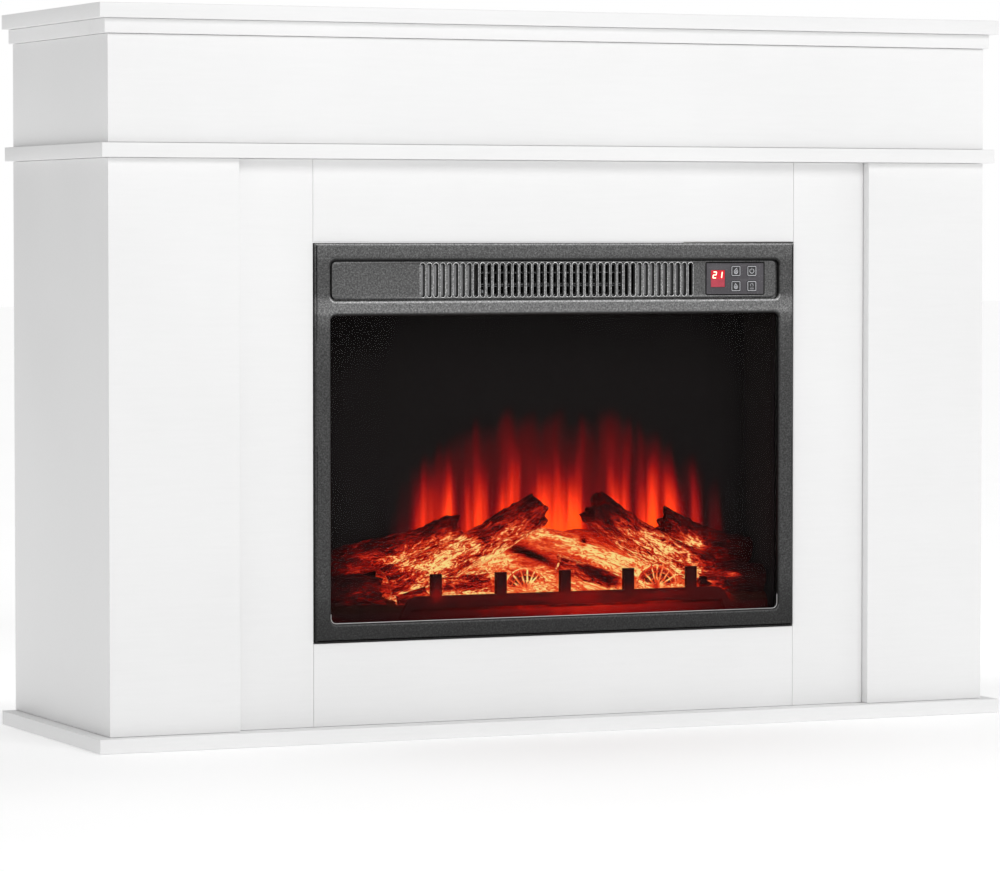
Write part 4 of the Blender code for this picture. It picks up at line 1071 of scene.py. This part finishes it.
def rod_mesh(name, start, end, radius, seed, heat, taper=0.8, around=20, along=30):
    """A twig between two points, slightly crooked, glowing along its length."""
    start, end = Vector(start), Vector(end)
    direction = (end - start).normalized()
    side = direction.cross(Vector((0, 1, 0))).normalized()
    up = side.cross(direction).normalized()
    bm = bmesh.new()
    rings, heats, grains = [], [], []
    for i in range(along + 1):
        t = i / along
        wobble = side * noise.noise(Vector((t * 3, seed, 0))) * radius * 1.2
        centre = start.lerp(end, t) + wobble * sin(t * pi)
        r = radius * (1 - (1 - taper) * t)
        ring = []
        for j in range(around):
            angle = 2 * pi * j / around
            ripple = 1 + 0.18 * noise.noise(Vector((cos(angle) * 2, sin(angle) * 2, t * 9 + seed)))
            place = centre + (side * cos(angle) + up * sin(angle)) * r * ripple
            ring.append(bm.verts.new(place))
            heats.append(heat * (0.75 + 0.4 * noise.noise(place * 140)))
            grains.append((t * 0.01 + seed, cos(angle) * r, sin(angle) * r))
        rings.append(ring)
    stitch(bm, rings)
    bm.faces.new(rings[0][::-1])
    bm.faces.new(rings[-1])
    mesh = finish_mesh(name, bm, 1.2)
    set_heat(mesh, heats, grains)
    return mesh


# Fans of twigs between the grate posts: centre x, centre z, reach
FANS = ((-0.028, 0.1555, 0.0280), (0.135, 0.1540, 0.0285))
FAN_Y = -0.1165
FAN_FOOT = 0.004
SPOKES, HOOPS, HOOP_PARTS = 9, 3, 7
SPOKE_RADIUS, HOOP_RADIUS = 0.0011, 0.0007
# Short logs between the posts: start, end, radius at each end, heat
FRONT_LOGS = (((-0.1335, -0.1100, 0.1630), (-0.0735, -0.1095, 0.1665), 0.0105, 0.0125, 0.95),
              ((0.014, -0.1060, 0.1840), (0.0840, -0.1110, 0.1590), 0.0105, 0.0115, 0.85),
              ((-0.186, -0.1110, 0.1500), (-0.1500, -0.1105, 0.1570), 0.0085, 0.0100, 0.75),
              ((0.188, -0.1105, 0.1600), (0.2350, -0.1110, 0.1560), 0.0100, 0.0090, 0.22))


def rim_heat(level):
    """Heat that shows along the outline of a short log, with a darker, striped middle."""
    def heat_at(place, radial, height, t):
        rim = 1.0 - max(0.0, -radial.y) ** 1.4
        tip = max(0.0, (t - 0.88) / 0.12)
        return level * (0.52 + 0.62 * rim + 0.2 * tip) * (1.1 - 0.4 * height) + 0.3 * bay_rim(place.x, place.z)
    return heat_at


def fan_dome(name, x, z, reach):
    """The dark cushion behind a fan's twigs, with a bright edge."""
    bm = bmesh.new()
    bmesh.ops.create_uvsphere(bm, u_segments=96, v_segments=64, radius=1.0)
    heats, grains = [], []
    for vertex in bm.verts:
        out = vertex.co.copy()
        radius = hypot(out.x, out.z)
        angle = atan2(out.z, out.x)
        ripple = 0.02 * sin(radius * 26) + 0.015 * sin(angle * 18)
        y = FAN_Y + 0.0035 + out.y * (0.0035 + 0.004 * ripple)
        vertex.co = Vector((x + out.x * reach * 0.94, y, max(z + out.z * reach * 0.90, z - FAN_FOOT)))
        rim = 0.85 * max(0.0, radius - 0.80) * 5
        heats.append(max(0.24 + 0.18 * max(0.0, sin(radius * 26)) + rim, bay_rim(*vertex.co.xz)))
        grains.append((radius * 0.01, angle * 0.012, reach))
    mesh = finish_mesh(name, bm, 2.0)
    set_heat(mesh, heats, grains)
    return mesh


def build_front_row():
    """The fans of twigs and the short logs that show between the grate's posts."""
    random.seed(SEED)
    for index, (x, z, reach) in enumerate(FANS):

        def on_fan(angle, radius, forward):
            return (x + cos(angle) * radius, FAN_Y + forward, z + sin(angle) * radius * 0.95)

        twigs = [fan_dome("dome", x, z, reach)]
        for spoke in range(SPOKES):
            angle = radians(10 + 160 * spoke / (SPOKES - 1) + random.uniform(-6, 6))
            length = reach * random.uniform(0.90, 1.04)
            twigs.append(rod_mesh("twig", (x, FAN_Y - 0.0010, z), on_fan(angle, length, 0.0005), SPOKE_RADIUS,
                                  spoke + index * 10, 1.15, 0.75))
        for hoop in range(HOOPS):
            radius = reach * (0.42 + 0.25 * hoop)
            for part in range(HOOP_PARTS):
                a0 = radians(14 + 21.7 * part + random.uniform(-4, 4))
                a1 = a0 + radians(random.uniform(14, 22))
                twigs.append(rod_mesh("twig", on_fan(a0, radius, -0.0002), on_fan(a1, radius, -0.0002),
                                      HOOP_RADIUS, hoop * 7 + part, 0.95, 1.0, 12, 8))
        name = "twig_fan_%d" % (index + 1)
        publish(name, joined(name, twigs, None), TWIG)
    for index, (start, end, first, last, level) in enumerate(FRONT_LOGS):
        mesh = log_mesh("front_log_%d" % (index + 1), (start, end), (first, last), 20 + index * 3.1,
                        rim_heat(level), 0.0020, 72, 80, 0.003)
        publish("front_log_%d" % (index + 1), mesh, LOG)


def build_grate():
    """The grate: a low spread foot, a bar and five posts, cast in one."""
    low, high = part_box("grate")
    left, right = POSTS[0] - 0.030, POSTS[-1] + 0.038
    outline = [(low.x, low.z), (low.x + 0.010, low.z), (left, BAR_LOW), (right, BAR_LOW),
               (high.x - 0.010, low.z), (high.x, low.z), (high.x - 0.006, low.z + 0.018),
               (right + 0.004, BAR_HIGH - 0.004), (right - 0.006, BAR_HIGH)]
    for x in reversed(POSTS):
        outline += [(x + POST_HALF, BAR_HIGH), (x + POST_HALF, POST_TOP)]
        outline += [(x - POST_HALF, POST_TOP), (x - POST_HALF, BAR_HIGH)]
    outline += [(left + 0.006, BAR_HIGH), (left - 0.004, BAR_HIGH - 0.004), (low.x + 0.006, low.z + 0.018)]
    mesh = plate_mesh("grate_casting", [outline], low.y, high.y - low.y, 0.0008, 2)
    warm_up(mesh, grate_heat, 60)
    publish("grate_casting", mesh, GRATE, stands_for=("grate",))


# Where light leaks through the grate's paint: x, z, reach along X, reach along Z, strength
GRATE_SPOTS = ((-0.142, 0.158, 0.008, 0.013, 0.24), (0.125, 0.146, 0.040, 0.006, 0.10),
               (0.045, 0.147, 0.020, 0.006, 0.10))


def grate_heat(place):
    """Light leaking through the grate's paint: dim on the posts, redder along the bar, most on the first post."""
    along = exp(-((place.x - 0.02) / 0.20) ** 2)
    total = 0.16 + 0.15 * along / (1.0 + exp((place.z - 0.1555) / 0.001))
    for x, z, reach_x, reach_z, strength in GRATE_SPOTS:
        total += strength * exp(-((place.x - x) / reach_x) ** 2 - ((place.z - z) / reach_z) ** 2)
    return total


# ---------------------------------------------------------------- CAD nodes that show as they are

SHOWN_NODES = {
    FIREBOX: ("casing_side_left", "casing_side_right", "divider_shelf", "casing_bottom", "rotor_bracket",
              "rotor_motor"),
    DARK_STEEL: ("blower_housing", "fan_wheel"),
    STEEL: ("casing_top", "rear_cover", "fan_motor"),
    BLACK_PLASTIC: ("cord_gland", "thermal_cutout"),
    BOARD_GREEN: ("control_board", "flame_led_strip", "ember_led_strip"),
    GLASS: ("glass_pane",),
    FOIL: ("flame_rotor",),
    MICA: ("heater_element",),
}


def dress_cad_nodes():
    for material, nodes in SHOWN_NODES.items():
        for node in nodes:
            dress(NODES[node], material)


# ---------------------------------------------------------------- the back

# Heads of the rear screws and of the cam locks: radius, rise, half width, half length and depth of the cross
REAR_SCREW = (0.0036, 0.0018, 0.0006, 0.0022, 0.0007)
CAM_LOCK = (0.0074, 0.0005, 0.0010, 0.0046, 0.0004)
SCREW_INSET = 0.009
CAM_INSET, CAM_BACK = 0.034, 0.060
VENT_FIRST, VENT_PITCH, VENT_ROWS, VENT_COLUMNS = (-0.1400, 0.4950), (0.0400, 0.0180), 2, 8
VENT_HALF, VENT_LIP = (0.0140, 0.0025), 0.0012


def driven_head(name, centre, outward, shape):
    """A domed head with a cross recess."""
    radius, rise, arm, reach, recess = shape
    turn = Vector((0, 1, 0)).rotation_difference(Vector(outward)).to_matrix()
    rings, sides = 14, 48
    bm = bmesh.new()

    def ring_at(share, height_at):
        ring = []
        for side in range(sides):
            x, z = (radius * share * f(2 * pi * side / sides) for f in (cos, sin))
            ring.append(bm.verts.new(Vector(centre) + turn @ Vector((x, height_at(x, z), z))))
        return ring

    top = bm.verts.new(Vector(centre) + turn @ Vector((0.0, rise - recess, 0.0)))
    loops = []
    for ring in range(1, rings + 1):
        dome = rise * (1.0 - 0.55 * (ring / rings) ** 4)
        loops.append(ring_at(ring / rings, lambda x, z: dome - (
            recess if min(abs(x), abs(z)) < arm and max(abs(x), abs(z)) < reach else 0.0)))
    loops.append(ring_at(1.0, lambda x, z: 0.0))
    for side in range(sides):
        bm.faces.new((top, loops[0][side], loops[0][(side + 1) % sides]))
    stitch(bm, loops)
    bm.faces.new(loops[-1])
    return finish_mesh(name, bm, 0.5)


def build_back():
    """Screws and rolled vent edges on the insert's rear cover, and the cam locks that hold the uprights."""
    low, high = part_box("rear_cover")
    left, right = low.x + SCREW_INSET, high.x - SCREW_INSET
    bottom, top = low.z + SCREW_INSET, high.z - SCREW_INSET
    screws = [(left + (right - left) * share, z) for share in (0.0, 1 / 3, 2 / 3, 1.0) for z in (bottom, top)]
    screws += [(x, low.z + (high.z - low.z) * share) for x in (left, right) for share in (0.35, 0.68)]
    heads = [driven_head("head", (x, high.y, z), (0, 1, 0), REAR_SCREW) for x, z in screws]
    publish("rear_screws", joined("rear_screws", heads), SCREW)
    lips = []
    for row in range(VENT_ROWS):
        for column in range(VENT_COLUMNS):
            centre = (VENT_FIRST[0] + VENT_PITCH[0] * column, VENT_FIRST[1] + VENT_PITCH[1] * row)
            outer = arc_outline(VENT_HALF[0] + VENT_LIP, VENT_HALF[1] + VENT_LIP, VENT_LIP, 4, centre)
            inner = arc_outline(*VENT_HALF, 0.0003, 4, centre)
            lips.append(plate_mesh("lip", [outer, inner], high.y, 0.0008, 0.0002, 1))
    publish("vent_lips", joined("vent_lips", lips), STEEL)
    cams = []
    for node, side in (("inner_upright_left", -1), ("inner_upright_right", 1)):
        low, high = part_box(node)
        for z in (low.z + CAM_INSET, high.z - CAM_INSET):
            for y in (low.y + CAM_BACK, high.y - CAM_INSET):
                cams.append(driven_head("cam", (low.x if side < 0 else high.x, y, z), (side, 0, 0), CAM_LOCK))
    publish("cam_locks", joined("cam_locks", cams), SCREW)


# ---------------------------------------------------------------- stage, light and camera

FLOOR_SIZE, FLOOR_DROP = 60.0, 0.0005
# How much the floor is lifted towards white, along Y: the ramp runs over LIFT_SPAN metres around the object
LIFT_SPAN = 3.0
LIFT = ((0.0, 0.36), (0.30, 0.32), (0.40, 0.27), (0.533, 0.27), (0.667, 0.56), (1.0, 0.44))
SKY_STRENGTH, SEEN_SKY_STRENGTH = 0.563, 1.0
KEY_PLACE, KEY_AIM, KEY_SIZE, KEY_POWER = (0.7, -5.0, 3.1), (0, -0.1, 0.5), (3.2, 2.0), 98.0
LENS, SENSOR_WIDTH, CLIP_END = 168.1, 36.0, 50.0
CAMERA_PLACE, CAMERA_DIP, CAMERA_TURN = (-2.1639, -4.8741, 0.5520), 2.451, -23.860


def build_stage():
    bpy.ops.mesh.primitive_plane_add(size=FLOOR_SIZE, location=(0, 0, -FLOOR_DROP))
    floor = bpy.context.object
    floor.name = "floor"
    material, tree, shader = new_material("pale_floor")
    tone = noise_of(tree, coordinates(tree), 2.0, 3.0)
    depth = times(tree, plus(tree, parts_of(tree, coordinates(tree))["Y"], LIFT_SPAN / 2), 1 / LIFT_SPAN)
    feed(tree, shader, Base_Color=ramp(tree, tone, (0.3, 0.90), (0.7, 0.93)),
         Emission_Color=ramp(tree, depth, *LIFT))
    settle(shader, Roughness=0.8, Specular_IOR_Level=0.1, Emission_Strength=1.0)
    dress(floor, material)


def build_light():
    """A soft key light from the front right, and an even sky that looks white."""
    light = bpy.data.lights.new("key", "AREA")
    light.shape = "RECTANGLE"
    light.size, light.size_y = KEY_SIZE
    light.energy = KEY_POWER
    key = bpy.data.objects.new("key", light)
    key.location = KEY_PLACE
    key.rotation_euler = (Vector(KEY_AIM) - Vector(KEY_PLACE)).to_track_quat("-Z", "Y").to_euler()
    bpy.context.scene.collection.objects.link(key)
    world = bpy.data.worlds.new("studio")
    bpy.context.scene.world = world
    world.use_nodes = True
    tree = world.node_tree
    sky = tree.nodes["Background"]
    seen = tree.nodes.new("ShaderNodeBackground")
    for node, strength in ((sky, SKY_STRENGTH), (seen, SEEN_SKY_STRENGTH)):
        node.inputs["Color"].default_value = (1, 1, 1, 1)
        node.inputs["Strength"].default_value = strength
    path = tree.nodes.new("ShaderNodeLightPath")
    mix = tree.nodes.new("ShaderNodeMixShader")
    tree.links.new(path.outputs["Is Camera Ray"], mix.inputs["Fac"])
    tree.links.new(sky.outputs["Background"], mix.inputs[1])
    tree.links.new(seen.outputs["Background"], mix.inputs[2])
    tree.links.new(mix.outputs["Shader"], tree.nodes["World Output"].inputs["Surface"])
    bpy.context.scene.view_settings.view_transform = "Standard"


def build_camera():
    """The photograph's view: from the left, a little above the middle, through a long lens."""
    camera = bpy.data.cameras.new("camera")
    camera.lens = LENS
    camera.sensor_width = SENSOR_WIDTH
    camera.clip_end = CLIP_END
    ob = bpy.data.objects.new("camera", camera)
    ob.location = CAMERA_PLACE
    ob.rotation_euler = (radians(90 - CAMERA_DIP), 0, radians(CAMERA_TURN))
    bpy.context.scene.collection.objects.link(ob)
    bpy.context.scene.camera = ob


build_camera()
build_mantel()
build_front_frame()
build_grille()
build_slot_lips()
build_heater_front()
build_control_panel()
build_flame_screen()
build_ember_bed()
build_logs()
build_front_row()
build_grate()
build_back()
dress_cad_nodes()
build_stage()
build_light()
